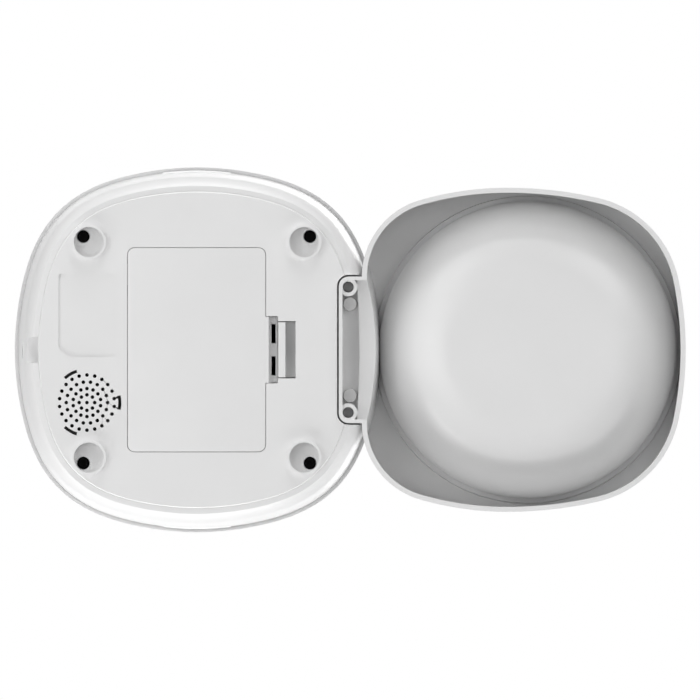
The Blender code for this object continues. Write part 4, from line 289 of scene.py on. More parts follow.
# Rotor in its chamber, the deck's opening over it and the outlet under it
CHAMBER_RADIUS = 0.0500
CHAMBER_WALL = 0.0024
CHAMBER_FLOOR = 0.0025
CHAMBER_FLANGE = 0.0050
CHAMBER_FLANGE_THICK = 0.0022
CHAMBER_STEPS = 128
ROTOR_RADIUS = 0.049
ROTOR_GAP = 0.0005
ROTOR_HUB_RADIUS = 0.0095
ROTOR_VANES = 6
ROTOR_HUB_STEPS = 8
VANE_THICK = 0.0022
SHAFT_RADIUS = 0.0038
SHAFT_SIDES = 6
SHAFT_IN_ROTOR = 0.0120
OUTLET_SIDE_INSET = 0.0018
OUTLET_INNER_RADIUS = 0.022465
OUTLET_HALF_ANGLE = asin((CHUTE_HALF - CHUTE_WALL - OUTLET_SIDE_INSET) / ROTOR_RADIUS)
OUTLET_STEPS = 24
DECK_OPENING_RADIUS = 0.048
SHIELD_HALF_ANGLE = OUTLET_HALF_ANGLE + radians(7)
SHIELD_INNER_RADIUS = 0.0105
AGITATOR_RADIUS = 0.0340
AGITATOR_ARMS = 3
AGITATOR_HUB_STEPS = 10
AGITATOR_ARM_THICK = 0.0045
AGITATOR_STEM_HIGH = 0.0100
AGITATOR_ARM_HIGH = 0.0060

# Heights over the deck, and the body shell
HOPPER_FUNNEL_Z = 0.19
HOPPER_TOP_Z = 0.277
SHELL_TOP_Z = 0.28
SHELL_WALL = 0.0024
SHELL_TOP_HALF = 0.0832
SHELL_EDGE = 0.0006
DECK_RIB_WIDE = 0.0022
DECK_RIB_THICK = 0.0024

# Feed button and indicator
BUTTON_RADIUS = 0.0095
BUTTON_PROUD = 0.0010
BUTTON_LONG = 0.0060
BUTTON_FLANGE = 0.0018
BUTTON_FLANGE_THICK = 0.0012
INDICATOR_Z = 0.1335
INDICATOR_RADIUS = 0.0016
INDICATOR_LONG = 0.0077

# Power socket in the rear wall
SOCKET_Z = 0.0220
SOCKET_BARREL_RADIUS = 0.0042

# Hopper
HOPPER_HALF = 0.0795
HOPPER_WALL = 0.0018
THROAT_RADIUS = 0.0465
THROAT_HIGH = 0.0030

# Lid, seal and desiccant box
LID_LOW_Z = SHELL_TOP_Z + SLIDE_GAP
LID_TOP_Z = 0.3
LID_HALF = SHELL_TOP_HALF
LID_EDGE = 0.0065
LID_EDGE_STEPS = 8
LID_WALL = 0.0024
LID_PANEL_HALF = 0.07
LID_PANEL_DEEP = 0.0008
LID_CEILING_Z = LID_TOP_Z - LID_PANEL_DEEP - LID_WALL
GRIP_HALF_LONG = 0.0170
GRIP_HIGH = 0.0090
GRIP_DEEP = 0.0050
SKIRT_HALF = 0.0752
SKIRT_WALL = 0.0020
SKIRT_BOTTOM_Z = 0.268
SEAL_HALF = HOPPER_HALF - HOPPER_WALL - GAP
SEAL_LOW = 0.0030
SEAL_HIGH = 0.0040
SEAL_BEAD = 0.0006
SEAL_STEPS = 4
DESICCANT_RADIUS = 0.0270
DESICCANT_HIGH = 0.0190
DESICCANT_WALL = 0.0015
DESICCANT_RING_WALL = 0.0016
DESICCANT_RING_HIGH = 0.0150
DESICCANT_COVER_THICK = 0.0024
DESICCANT_SLOTS = 6
DESICCANT_SLOT_STEPS = 8
DESICCANT_SLOT_INNER = 0.0090
DESICCANT_SLOT_OUTER = 0.021
DESICCANT_SLOT_HALF = radians(12)

# Fine forms and edges
COVER_LOOK_HALF = 0.07355
DOOR_GROW = 0.00025
FINE_BEVEL = 0.00015
SOFT_BEVEL = 0.00025
EDGE_STEPS = 4
PLATE_CHAMFER = 0.0005
RING_SET_BACK = 0.00045
LEDGE_SLANT = 0.0009
LEDGE_ROUND = 0.00003
DISH_START = 0.0350
DISH_REACH = 0.0720
DISH_RISE = 0.0460
SEAT_DRAFT = 0.0005
ROOF_INSET = 0.0002
SNAP_HALF = 0.0158
SNAP_OUT = 0.0003
SNAP_HIGH = 0.0060
LABEL_ROUND = 0.0016
THREAD_PITCH = 0.0008
THREAD_DEEP = 0.00025
THREADS = 16
SCREW_HEX_SIDES = 6
WIRE_RADIUS = 0.0004
SPRING_TURNS = 4
SPRING_STEPS = 18
WIRE_STEPS = 8

# Finishes: scales of noise per metre, its detail, and what it does to colour, gloss and relief
TINT_SPAN = (0.3, 0.7)
CLOUD_SCALE = 28.0
CLOUD_DETAIL = 3.0
CLOUD_GLOSS = 0.04
GRAIN_DETAIL = 4.0
GRAIN_STRENGTH = 0.35
METAL_DETAIL = 3.0
METAL_HIGH = 0.00002
DRAWN_SHADE = 0.92
DRAWN_DULLER = 0.08
DRAWN_GLOSSIER = 0.06
DRAWN_STRENGTH = 0.2
SPUN_SCALE = 2600.0
SPUN_STRENGTH = 0.15
CLEAR_SCALE = 40.0
CLEAR_SHADE = 0.96
CLEAR_DULLER = 0.06
CLEAR_INDEX = 1.49
BOARD_SCALE = 60.0
TRACK_SCALE = 120.0
TRACK_WIDE = 0.035

# Camera: a long lens straight under the object
PHOTO_WIDE = 0.3248
PHOTO_CENTRE_X = 0.0001
PHOTO_CENTRE_Y = -0.0002
LENS = 1500.0
SENSOR = 36.0
CLIP_NEAR = 0.1

# Studio: the sky's strength for matt and glossy surfaces, the lamps and the floor
SKY_DIFFUSE = 0.08
SKY_GLOSSY = 0.80
LAMP_WIDE = 0.9
LAMP_REACH = 1.6
LAMP_CENTRE = (0.0, 0.0, 0.02)
FLOOR_HALF = 4.0
FLOOR_Z = -0.0006
FLOOR_GLOW = 0.12

# Lamps: bearing from +X towards +Y and height over the horizon, both in degrees, and power in watts
LAMPS = (
    (0, -12, 11.5),
    (0, 8, 3.0),
    (45, -12, 10.0),
    (135, -35, 3.8),
    (180, -12, 14.5),
    (225, -35, 5.0),
    (315, -12, 6.5),
    (270, -60, 2.3),
    (90, -35, 3.5),
    (90, -60, 4.6),
    (0, 90, 6.0),
    (235, 74, 5.0),
)


# Closed bodies from rings, outlines and turned profiles


def body_from(bm, name="shape"):
    bmesh.ops.recalc_face_normals(bm, faces=bm.faces[:])
    mesh = bpy.data.meshes.new(name)
    bm.to_mesh(mesh)
    bm.free()
    made = bpy.data.objects.new(name, mesh)
    bpy.context.scene.collection.objects.link(made)
    return made


def loft(rings, closed=False):
    """A body through rings of points: capped at its two ends, or closed on itself like a tyre."""
    bm = bmesh.new()
    rows = [[bm.verts.new(point) for point in ring] for ring in rings]
    pairs = list(zip(rows, rows[1:]))
    if closed:
        pairs.append((rows[-1], rows[0]))
    for low, high in pairs:
        for k in range(len(low)):
            after = (k + 1) % len(low)
            bm.faces.new((low[k], low[after], high[after], high[k]))
    if not closed:
        bm.faces.new(rows[0])
        bm.faces.new(rows[-1])
    return body_from(bm)


def flat_ring(outline, z):
    return [Vector((x, y, z)) for x, y in outline]


def prism(outline, low_z, high_z):
    return loft([flat_ring(outline, low_z), flat_ring(outline, high_z)])


def arc(radius, start, end, steps, x=0.0, y=0.0):
    """Points of an arc with both its ends, its angles measured from +X towards +Y."""
    angles = [start + (end - start) * k / steps for k in range(steps + 1)]
    return [(x + radius * cos(angle), y + radius * sin(angle)) for angle in angles]


def circle(radius, steps, x=0.0, y=0.0):
    return arc(radius, 0.0, 2 * pi, steps, x, y)[:-1]


def round_in(radius, half, z):
    """A quarter turn from a flat under side at z out to an upright side at a half width."""
    return arc(radius, -pi / 2, 0.0, EDGE_STEPS, half - radius, z + radius)


def cylinder(radius, low_z, high_z, x=0.0, y=0.0, steps=LARGE_TURN):
    return prism(circle(radius, steps, x, y), low_z, high_z)


def cylinders(places, radius, low_z, high_z, steps):
    """Upright cylinders of one size at several places, as one object."""
    return gather([cylinder(radius, low_z, high_z, x, y, steps) for x, y in places])


def turned(profile, steps, x=0.0, y=0.0, closed=False):
    """A profile of (radius, z) points, turned about the upright axis through x, y."""
    return loft([flat_ring(circle(radius, steps, x, y), z) for radius, z in profile], closed)


def slab(half, near_y, far_y, low_z, high_z, x=0.0):
    """A box, its middle at x."""
    left, right = x - half, x + half
    return prism([(left, near_y), (right, near_y), (right, far_y), (left, far_y)], low_z, high_z)


def side_slabs(inner, outer, near_y, far_y, low_z, high_z):
    """Two boxes on either side of the middle, each between two distances from it."""
    half = (outer - inner) / 2
    return [slab(half, near_y, far_y, low_z, high_z, side * (inner + half)) for side in (-1, 1)]


def rounded_rectangle(half_x, half_y, corner, steps, y):
    points = []
    for quarter, (side_x, side_y) in enumerate(((1, 1), (-1, 1), (-1, -1), (1, -1))):
        start = pi / 2 * quarter
        middle = (side_x * (half_x - corner), y + side_y * (half_y - corner))
        points += arc(corner, start, start + pi / 2, steps, *middle)
    return points


def rounded(corners, radius):
    """An outline with every corner a little round."""
    points = []
    for k, corner in enumerate(corners):
        here = Vector(corner)
        before = (Vector(corners[k - 1]) - here).normalized() * radius
        after = (Vector(corners[(k + 1) % len(corners)]) - here).normalized() * radius
        for step in range(EDGE_STEPS + 1):
            share = step / EDGE_STEPS
            points.append((here + before * (1 - share) ** 2 + after * share ** 2)[:])
    return points


def sector(inner, outer, middle, half_angle, steps, x, y):
    """The outline of a piece of a ring, centred on an angle."""
    low, high = middle - half_angle, middle + half_angle
    return arc(outer, low, high, steps, x, y) + arc(inner, high, low, steps, x, y)


def mirrored(points):
    """A right half of an outline with its left half."""
    return points + [(-x, y) for x, y in reversed(points)]


def hull_prism(discs, low_z, high_z):
    """The upright prism round a set of discs, each given as x, y, radius."""
    bm = bmesh.new()
    for x, y, radius in discs:
        for point in circle(radius, FINE_TURN, x, y):
            bm.verts.new((*point, low_z))
            bm.verts.new((*point, high_z))
    found = bmesh.ops.convex_hull(bm, input=bm.verts[:])
    spare = {piece for piece in found["geom_interior"] if isinstance(piece, bmesh.types.BMVert)}
    bmesh.ops.delete(bm, geom=list(spare), context="VERTS")
    bmesh.ops.dissolve_limit(bm, angle_limit=FLAT_ANGLE, verts=bm.verts[:], edges=bm.edges[:])
    return body_from(bm)


def discard(part):
    mesh = part.data
    bpy.data.objects.remove(part, do_unlink=True)
    bpy.data.meshes.remove(mesh)


def gather(parts):
    """Several bodies that stand clear of each other, as one object."""
    bm = bmesh.new()
    for part in parts:
        part.data.transform(part.matrix_world)
        bm.from_mesh(part.data)
        discard(part)
    return body_from(bm)


def lay(part, x, y, z, angle=pi / 2, axis="X"):
    """Turns a part about one axis through its origin, then moves it to a place."""
    part.data.transform(Matrix.Translation((x, y, z)) @ Matrix.Rotation(angle, 4, axis))
    part.data.update()
    return part


def combine(part, tool, operation):
    """Joins, cuts or keeps a part by a tool, and merges the flat neighbours of what comes out."""
    change = part.modifiers.new("shape", "BOOLEAN")
    change.operation = operation
    change.solver = "EXACT"
    change.object = tool
    graph = bpy.context.evaluated_depsgraph_get()
    mesh = bpy.data.meshes.new_from_object(part.evaluated_get(graph))
    part.modifiers.clear()
    old = part.data
    part.data = mesh
    bpy.data.meshes.remove(old)
    bm = bmesh.new()
    bm.from_mesh(mesh)
    bmesh.ops.remove_doubles(bm, verts=bm.verts[:], dist=WELD)
    bmesh.ops.dissolve_degenerate(bm, edges=bm.edges[:], dist=WELD)
    bmesh.ops.dissolve_limit(bm, angle_limit=FLAT_ANGLE, verts=bm.verts[:], edges=bm.edges[:])
    bm.to_mesh(mesh)
    bm.free()
    discard(tool)


def cut(part, *tools):
    for tool in tools:
        combine(part, tool, "DIFFERENCE")


def fuse(part, *tools):
    for tool in tools:
        combine(part, tool, "UNION")


def dress(piece, name, node, slot, bevel):
    """Names a finished piece, rounds its sharp edges, and gives it a finish and its CAD node's body."""
    piece.name = name
    piece.data.name = name
    piece.data.shade_smooth()
    piece.data.set_sharp_from_angle(angle=SHARP_ANGLE)
    if bevel:
        edge = piece.modifiers.new("edge", "BEVEL")
        edge.width = bevel
        edge.segments = 2
        edge.limit_method = "ANGLE"
        edge.angle_limit = BEVEL_ANGLE
        edge.harden_normals = True
        edge.use_clamp_overlap = True
    piece.data.materials.clear()
    piece.data.materials.append(FINISH[slot])
    body = body_of[node]
    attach(piece, body)


def show(piece, node, bevel=FINE_BEVEL):
    """Puts a fine piece in the place of the CAD node that it is named after."""
    dress(piece, f"{node}_fine", node, slot_of[node], bevel)
    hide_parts(node)


# The tower's outline, its heights, and the places of its feet and screws


def body_outline(half, inner=0.0, share=1.0):
    """The tower's outline at a half width, or one part way to it from a circle of an inner radius."""
    points = []
    for k in range(BODY_STEPS):
        angle = 2 * pi * k / BODY_STEPS
        swell = CORNER_SWELL * (1 - cos(4 * angle)) / 2
        reach = half + swell - CORNER_EASE * (1 - cos(8 * angle)) / 2
        radius = inner + (reach - inner) * share
        points.append((radius * cos(angle), BODY_Y + radius * sin(angle)))
    return points


def body_loft(profile, closed=False):
    """A profile of (half width, z) points, carried round the tower's outline."""
    return loft([flat_ring(body_outline(half), z) for half, z in profile], closed)


def base_outer(offset=0.0):
    """The base housing's outer side from its lower edge up to the seam, moved outward by an offset."""
    start_half = COVER_HALF + 2 * COVER_GAP
    profile = []
    for k in range(BASE_FILLET_STEPS + 1):
        angle = BASE_FILLET_TURN * k / BASE_FILLET_STEPS
        across = sin(angle) / sin(BASE_FILLET_TURN)
        rise = (1 - cos(angle)) / (1 - cos(BASE_FILLET_TURN))
        half = start_half + (BASE_FILLET_HALF - start_half) * across
        profile.append((half + offset, COVER_Z + BASE_FILLET_HIGH * rise))
    return profile + [(BASE_TOP_HALF + offset, SEAM_Z - GAP)]


def base_half(z):
    """The base housing's outer half width at a height above its fillet."""
    low_z = COVER_Z + BASE_FILLET_HIGH
    share = (z - low_z) / (SEAM_Z - GAP - low_z)
    return BASE_FILLET_HALF + (BASE_TOP_HALF - BASE_FILLET_HALF) * share


def shell_half(z):
    """The body shell's outer half width at a height."""
    share = (z - SEAM_Z) / (SHELL_TOP_Z - SEAM_Z)
    return BODY_HALF + (SHELL_TOP_HALF - BODY_HALF) * share


def corner_places(reach):
    """The four places at one distance from the tower's middle, along X and along Y."""
    return [(side_x * reach, BODY_Y + side_y * reach) for side_x in (-1, 1) for side_y in (-1, 1)]


FEET = corner_places(FOOT_REACH)
SCREWS = corner_places(FOOT_REACH + SCREW_OFFSET)
POST_ROOTS = corner_places(POST_ROOT_REACH)
BOSSES = ((-BOSS_X, BOSS_Y), (BOSS_X, BOSS_Y))


# Finishes, each kept under the name of its material slot


def new_finish(name):
    made = bpy.data.materials.new(name)
    made.use_nodes = True
    FINISH[name] = made
    return made.node_tree, made.node_tree.nodes["Principled BSDF"]


def feed(tree, node, values):
    """Gives a node's inputs their values; a socket among them is linked."""
    for key, value in values.items():
        if isinstance(value, bpy.types.NodeSocket):
            tree.links.new(value, node.inputs[key])
        else:
            node.inputs[key].default_value = value


def new_node(tree, kind, values, result, operation=None):
    """Adds a node, gives its inputs their values, and returns one of its outputs."""
    made = tree.nodes.new(kind)
    if operation:
        made.operation = operation
    feed(tree, made, values)
    return made.outputs[result]


def object_place(tree):
    return new_node(tree, "ShaderNodeTexCoord", {}, "Object")


def noise_at(tree, scale, detail=2.0, stretch=(1.0, 1.0, 1.0)):
    place = new_node(tree, "ShaderNodeMapping", {"Vector": object_place(tree), "Scale": stretch}, "Vector")
    return new_node(tree, "ShaderNodeTexNoise", {"Vector": place, "Scale": scale, "Detail": detail}, "Fac")


def spread(tree, source, low, high):
    return new_node(tree, "ShaderNodeMapRange", {"Value": source, "To Min": low, "To Max": high}, "Result")


def tint(tree, source, dark, light):
    """Runs from a dark to a light colour over the middle of a noise."""
    ramp = tree.nodes.new("ShaderNodeValToRGB")
    for stop, position, colour in zip(ramp.color_ramp.elements, TINT_SPAN, (dark, light)):
        stop.position = position
        stop.color = (*colour, 1.0)
    feed(tree, ramp, {"Fac": source})
    return ramp.outputs["Color"]


def relief(tree, source, strength, distance):
    values = {"Strength": strength, "Distance": distance, "Height": source}
    return new_node(tree, "ShaderNodeBump", values, "Normal")


def shade(colour, factor):
    return tuple(min(1.0, part * factor) for part in colour)


def plastic(name, colour, roughness, grain_scale, grain_high, cloud=0.012, specular=0.5):
    """Moulded plastic: a fine spark-eroded grain, faint flow clouds in colour and in gloss."""
    tree, shader = new_finish(name)
    clouds = noise_at(tree, CLOUD_SCALE, CLOUD_DETAIL)
    grain = noise_at(tree, grain_scale, GRAIN_DETAIL)
    feed(tree, shader, {
        "Base Color": tint(tree, clouds, shade(colour, 1 - cloud), shade(colour, 1 + cloud)),
        "Roughness": spread(tree, clouds, roughness - CLOUD_GLOSS, roughness + CLOUD_GLOSS),
        "Normal": relief(tree, grain, GRAIN_STRENGTH, grain_high),
        "Specular IOR Level": specular,
    })


def lined_metal(tree, shader, lines, dark, light, low, high, strength):
    """Metal with fine lines in its colour, its gloss and its relief."""
    feed(tree, shader, {
        "Base Color": tint(tree, lines, dark, light),
        "Roughness": spread(tree, lines, low, high),
        "Normal": relief(tree, lines, strength, METAL_HIGH),
        "Metallic": 1.0,
    })


def metal(name, colour, roughness, stretch, scale):
    """Drawn or brushed metal, its lines along one direction."""
    tree, shader = new_finish(name)
    lines = noise_at(tree, scale, METAL_DETAIL, stretch)
    lined_metal(tree, shader, lines, shade(colour, DRAWN_SHADE), colour, roughness - DRAWN_GLOSSIER,
                roughness + DRAWN_DULLER, DRAWN_STRENGTH)


def spun_steel(name, dark, light, low, high):
    """Bowl steel with spun lines round the bowl's axis."""
    tree, shader = new_finish(name)
    from_axis = {0: object_place(tree), 1: (0.0, BOWL_Y, 0.0)}
    place = new_node(tree, "ShaderNodeVectorMath", from_axis, "Vector", "SUBTRACT")
    split = tree.nodes.new("ShaderNodeSeparateXYZ")
    feed(tree, split, {"Vector": place})
    flat_place = {axis: split.outputs[axis] for axis in "XY"}
    flat = new_node(tree, "ShaderNodeCombineXYZ", flat_place, "Vector")
    reach = new_node(tree, "ShaderNodeVectorMath", {0: flat}, "Value", "LENGTH")
    both = new_node(tree, "ShaderNodeCombineXYZ", {"X": reach, "Y": split.outputs["Z"]}, "Vector")
    noise = {"Vector": both, "Scale": SPUN_SCALE, "Detail": METAL_DETAIL}
    lines = new_node(tree, "ShaderNodeTexNoise", noise, "Fac")
    lined_metal(tree, shader, lines, dark, light, low, high, SPUN_STRENGTH)


def clear_plastic(name, colour, roughness, transmission):
    tree, shader = new_finish(name)
    clouds = noise_at(tree, CLEAR_SCALE)
    feed(tree, shader, {
        "Base Color": tint(tree, clouds, shade(colour, CLEAR_SHADE), colour),
        "Roughness": spread(tree, clouds, roughness, roughness + CLEAR_DULLER),
        "Transmission Weight": transmission,
        "IOR": CLEAR_INDEX,
    })


def board(name, low, high):
    """Circuit board: solder mask over faint straight tracks."""
    tree, shader = new_finish(name)
    tracks = {
        "Vector": object_place(tree),
        "Scale": TRACK_SCALE,
        "Mortar Size": TRACK_WIDE,
        "Color1": (0.015, 0.13, 0.055, 1.0),
        "Color2": (0.018, 0.15, 0.065, 1.0),
        "Mortar": (0.05, 0.25, 0.12, 1.0),
    }
    feed(tree, shader, {
        "Base Color": new_node(tree, "ShaderNodeTexBrick", tracks, "Color"),
        "Roughness": spread(tree, noise_at(tree, BOARD_SCALE), low, high),
    })


FINISH = {}
plastic("white_shell", (0.82, 0.82, 0.82), 0.30, 3000.0, 0.00001)
plastic("white_base", (0.82, 0.82, 0.82), 0.42, 2200.0, 0.00002)
plastic("inner_plastic", (0.58, 0.59, 0.60), 0.48, 1800.0, 0.00002)
plastic("soft_grey", (0.50, 0.51, 0.52), 0.62, 1500.0, 0.00002, 0.03, 0.35)
plastic("black_plastic", (0.010, 0.010, 0.010), 0.5, 1800.0, 0.00002, 0.1, 0.3)
plastic("black_screw", (0.0025, 0.0025, 0.0025), 0.42, 2500.0, 0.00001, 0.2, 0.05)
plastic("gear_plastic", (0.80, 0.79, 0.73), 0.40, 2000.0, 0.00001, 0.02)
plastic("cell_wrap", (0.035, 0.042, 0.052), 0.30, 1200.0, 0.00001, 0.06)
metal("steel", (0.62, 0.62, 0.61), 0.32, (1.0, 12.0, 1.0), 300.0)
metal("magnet", (0.44, 0.44, 0.44), 0.42, (1.0, 1.0, 1.0), 500.0)
spun_steel("bowl_steel", (0.55, 0.55, 0.54), (0.70, 0.70, 0.69), 0.16, 0.34)
clear_plastic("smoked_clear", (0.70, 0.72, 0.73), 0.06, 0.88)
clear_plastic("light_window", (0.86, 0.92, 0.96), 0.14, 0.6)
board("board_green", 0.3, 0.45)

slot_of = {row["node"]: row["material_slot"] for row in frame["record"]["subparts"]}
body_of = {node: body for body, members in frame["record"]["behaviour"]["bodies"].items() for node in members}
for node, cad in frame["nodes"].items():
    cad.data.materials.clear()
    cad.data.materials.append(FINISH[slot_of[node]])


# Base: cover, screws, housing


def grille_cutter(low_z, high_z):
    parts = []
    for radius, count, start in GRILLE_RINGS:
        for k in range(count):
            angle = start + 2 * pi * k / count - pi / 2
            x = GRILLE_X + radius * cos(angle)
            y = GRILLE_Y + radius * sin(angle)
            parts.append(cylinder(GRILLE_HOLE_RADIUS, low_z, high_z, x, y, GRILLE_HOLE_STEPS))
    inner = GRILLE_ARC_RADIUS - GRILLE_ARC_WIDE / 2
    outer = GRILLE_ARC_RADIUS + GRILLE_ARC_WIDE / 2
    for k in range(GRILLE_ARCS):
        middle = 2 * pi * k / GRILLE_ARCS - pi / 2
        outline = sector(inner, outer, middle, GRILLE_ARC_HALF, GRILLE_ARCS, GRILLE_X, GRILLE_Y)
        parts.append(prism(outline, low_z, high_z))
    return gather(parts)


def rear_corner(inset):
    """The rounded rear right corner of the holder's tab, drawn in by an inset."""
    corner = TAB_CORNER - inset
    return arc(corner, 0.0, pi / 2, TAB_CORNER_STEPS, TAB_HALF - TAB_CORNER, TAB_REACH_Y - TAB_CORNER)


def tab_outline(inset, front_y):
    """The holder's tab in plan, drawn in by an inset; a negative one gives the notch round it."""
    return mirrored([(TAB_HALF - inset, front_y)] + rear_corner(inset))


def notch_cutter(front_y, top_z):
    return prism(tab_outline(-TAB_GAP, front_y), -OVERRUN, top_z)


def door_outline(grow, corner):
    return rounded_rectangle(DOOR_HALF_LONG + grow, DOOR_HALF_WIDE + grow, corner, DOOR_CORNER_STEPS, BODY_Y)


def valley_slots(low_z):
    """The two slots in the valley's roof beside the latch's middle."""
    middle_y = NOSE_Y - VALLEY_WIDE / 2
    near_y, far_y = middle_y - VALLEY_SLOT_WIDE / 2, middle_y + VALLEY_SLOT_WIDE / 2
    high_z = low_z + 2 * OVERRUN
    return gather(side_slabs(VALLEY_SLOT_INNER, VALLEY_SLOT_OUTER, near_y, far_y, low_z, high_z))


def bottom_cover():
    middle_z = COVER_Z + COVER_THICK / 2
    under_z = COVER_Z - OVERRUN
    seat_top = COVER_TOP_Z + SPEAKER_SEAT_HIGH
    head_top = SCREW_TUBE_TOP_Z - SCREW_SHELF
    well_top = WELL_DEEP + WELL_FLOOR
    cover = body_loft([
        (COVER_LOOK_HALF - PLATE_CHAMFER, COVER_Z),
        (COVER_LOOK_HALF, COVER_Z + PLATE_CHAMFER),
        (COVER_LOOK_HALF, COVER_TOP_Z),
    ])
    fuse(
        cover,
        cylinder(SPEAKER_SEAT_RADIUS, middle_z, seat_top, GRILLE_X, GRILLE_Y),
        slab(POCKET_HALF + POCKET_WALL, FINGER_FRONT_Y - POCKET_WALL, DOOR_FRONT_Y - DOOR_GAP,
             middle_z, POCKET_CEILING_Z + POCKET_WALL),
        cylinders(FEET, COLLAR_RADIUS, 0.0, well_top, MIDDLE_TURN),
        cylinders(SCREWS, SCREW_TUBE_RADIUS, WELL_DEEP + WELL_FLOOR / 2, SCREW_TUBE_TOP_Z, FINE_TURN),
    )
    label_front = DOOR_REAR_Y + LABEL_DOOR_SPACE
    label_rear = label_front + LABEL_WIDE
    label = [
        (LABEL_LEFT, label_front),
        (LABEL_RIGHT, label_front),
        (LABEL_RIGHT, label_rear - LABEL_CHAMFER_Y),
        (LABEL_RIGHT - LABEL_CHAMFER_X, label_rear),
        (LABEL_LEFT, label_rear),
    ]
    cut(
        cover,
        cylinder(SPEAKER_RADIUS + GAP, COVER_TOP_Z, seat_top + OVERRUN, GRILLE_X, GRILLE_Y),
        cylinders(FEET, COLLAR_BORE, -OVERRUN, WELL_DEEP, MIDDLE_TURN),
        cylinders(SCREWS, SCREW_HOLE_RADIUS, WELL_DEEP - OVERRUN / 2, head_top, FINE_TURN),
        cylinders(SCREWS, SCREW_SHANK_RADIUS + GAP, head_top - OVERRUN, head_top + OVERRUN, TINY_TURN),
        prism(door_outline(DOOR_GAP, DOOR_CORNER + DOOR_GAP), under_z, POCKET_CEILING_Z + OVERRUN),
        slab(POCKET_HALF, VALLEY_FRONT_Y + GAP, BODY_Y, under_z, POCKET_CEILING_Z),
        slab(FINGER_HALF, FINGER_FRONT_Y, DOOR_FRONT_Y, under_z, POCKET_CEILING_Z),
        valley_slots(POCKET_CEILING_Z - OVERRUN / 4),
        *side_slabs(LATCH_HALF, FINGER_HALF, FINGER_FRONT_Y, VALLEY_FRONT_Y, COVER_TOP_Z,
                    POCKET_CEILING_Z + OVERRUN),
        notch_cutter(-BODY_HALF, TAB_HIGH),
        grille_cutter(under_z, COVER_TOP_Z + OVERRUN),
        prism(rounded(label, LABEL_ROUND), under_z, COVER_Z + LABEL_DEEP),
    )
    show(cover, "bottom_cover")


def cover_screws():
    top = SCREW_TUBE_TOP_Z - SCREW_SHELF - GAP
    low = top - SCREW_HEAD_HIGH
    core = SCREW_SHANK_RADIUS - THREAD_DEEP
    profile = round_in(THREAD_DEEP, SCREW_HEAD_RADIUS, low) + [(SCREW_HEAD_RADIUS, top)]
    for k in range(THREADS):
        z = top + k * THREAD_PITCH
        profile += [(core, z), (SCREW_SHANK_RADIUS, z + THREAD_PITCH / 2)]
    profile += [(core, top + THREADS * THREAD_PITCH), (THREAD_DEEP, top + SCREW_LONG)]
    for number, (x, y) in enumerate(SCREWS, 1):
        screw = turned(profile, MIDDLE_TURN, x, y)
        drive = circle(SCREW_SOCKET_RADIUS, SCREW_HEX_SIDES, x, y)
        cut(screw, prism(drive, low - OVERRUN, low + SCREW_SOCKET_DEEP))
        show(screw, f"cover_screw_{number}", 0.0)


def base_housing():
    wall_top = SEAM_Z + TONGUE_HIGH
    tongue_half = BODY_HALF - SHELL_WALL - GAP
    opening_half = COVER_HALF + COVER_GAP
    ledge_z = COVER_TOP_Z + GAP
    middle_z = COVER_Z + BASE_WALL / 2
    notch_top = TAB_HIGH + TAB_GAP
    housing = body_loft([
        (opening_half, COVER_Z + RING_SET_BACK),
        *base_outer()[3:],
        (tongue_half, SEAM_Z - GAP),
        (tongue_half, wall_top),
        (tongue_half - TONGUE_WALL, wall_top),
        (BASE_FILLET_HALF - BASE_WALL, middle_z + BASE_FILLET_HIGH),
        (BASE_FILLET_HALF - 2 * BASE_WALL, middle_z + BASE_FILLET_HIGH / 2),
        (opening_half - BASE_LEDGE, ledge_z + BASE_WALL),
        (opening_half - BASE_LEDGE, ledge_z),
        (opening_half, ledge_z),
    ], closed=True)
    walls = prism(tab_outline(-TAB_GAP - NOTCH_WALL, -BODY_HALF), ledge_z, notch_top + NOTCH_WALL)
    middle = base_outer(-BASE_WALL / 2)[1:]
    combine(walls, body_loft([(middle[0][0], ledge_z - OVERRUN), *middle]), "INTERSECT")
    snap_top = SEAM_Z - GAP
    snap_low = snap_top - SNAP_HIGH
    snaps = body_loft([
        (base_half(snap_low) - BASE_WALL / 2, snap_low),
        (base_half(snap_low), snap_low),
        (BASE_TOP_HALF + SNAP_OUT, snap_low + 2 * SNAP_OUT),
        (BASE_TOP_HALF + SNAP_OUT, snap_top),
        (BASE_TOP_HALF - BASE_WALL / 2, snap_top),
    ], closed=True)
    combine(snaps, slab(2 * BODY_HALF, BODY_Y - SNAP_HALF, BODY_Y + SNAP_HALF, 0.0, SEAM_Z), "INTERSECT")
    fuse(housing, walls, snaps)
    post_low = SCREW_TUBE_TOP_Z + GAP
    well_top = WELL_DEEP + WELL_FLOOR + GAP
    cut(housing, cylinders(FEET, COLLAR_RADIUS + GAP, COVER_Z - OVERRUN, well_top, LARGE_TURN))
    fuse(housing, gather([
        hull_prism([(*screw, POST_RADIUS), (*root, POST_ROOT_RADIUS)], post_low, post_low + POST_HIGH)
        for screw, root in zip(SCREWS, POST_ROOTS)
    ]))
    cut(
        housing,
        cylinders(SCREWS, SCREW_SHANK_RADIUS + GAP, post_low - OVERRUN, post_low + SCREW_LONG, TINY_TURN),
        notch_cutter(-BODY_HALF, TAB_LOW + TAB_GAP),
        notch_cutter(TAB_STEP_Y - TAB_GAP, notch_top),
    )
    fuse(housing, cylinders(BOSSES, PIN_RADIUS, PIN_END_Z, notch_top + NOTCH_WALL / 2, FINE_TURN))
    socket_hole = cylinder(SOCKET_BARREL_RADIUS, -2 * OVERRUN, 2 * OVERRUN)
    cut(
        housing,
        slab(CABLE_NOTCH_WIDE / 2, BODY_Y + CABLE_NOTCH_START, BODY_Y + BODY_HALF + OVERRUN,
             -OVERRUN, CABLE_NOTCH_TOP_Z),
        lay(socket_hole, 0.0, BODY_Y + base_half(SOCKET_Z) - BASE_WALL / 2, SOCKET_Z),
    )
    show(housing, "base_housing")


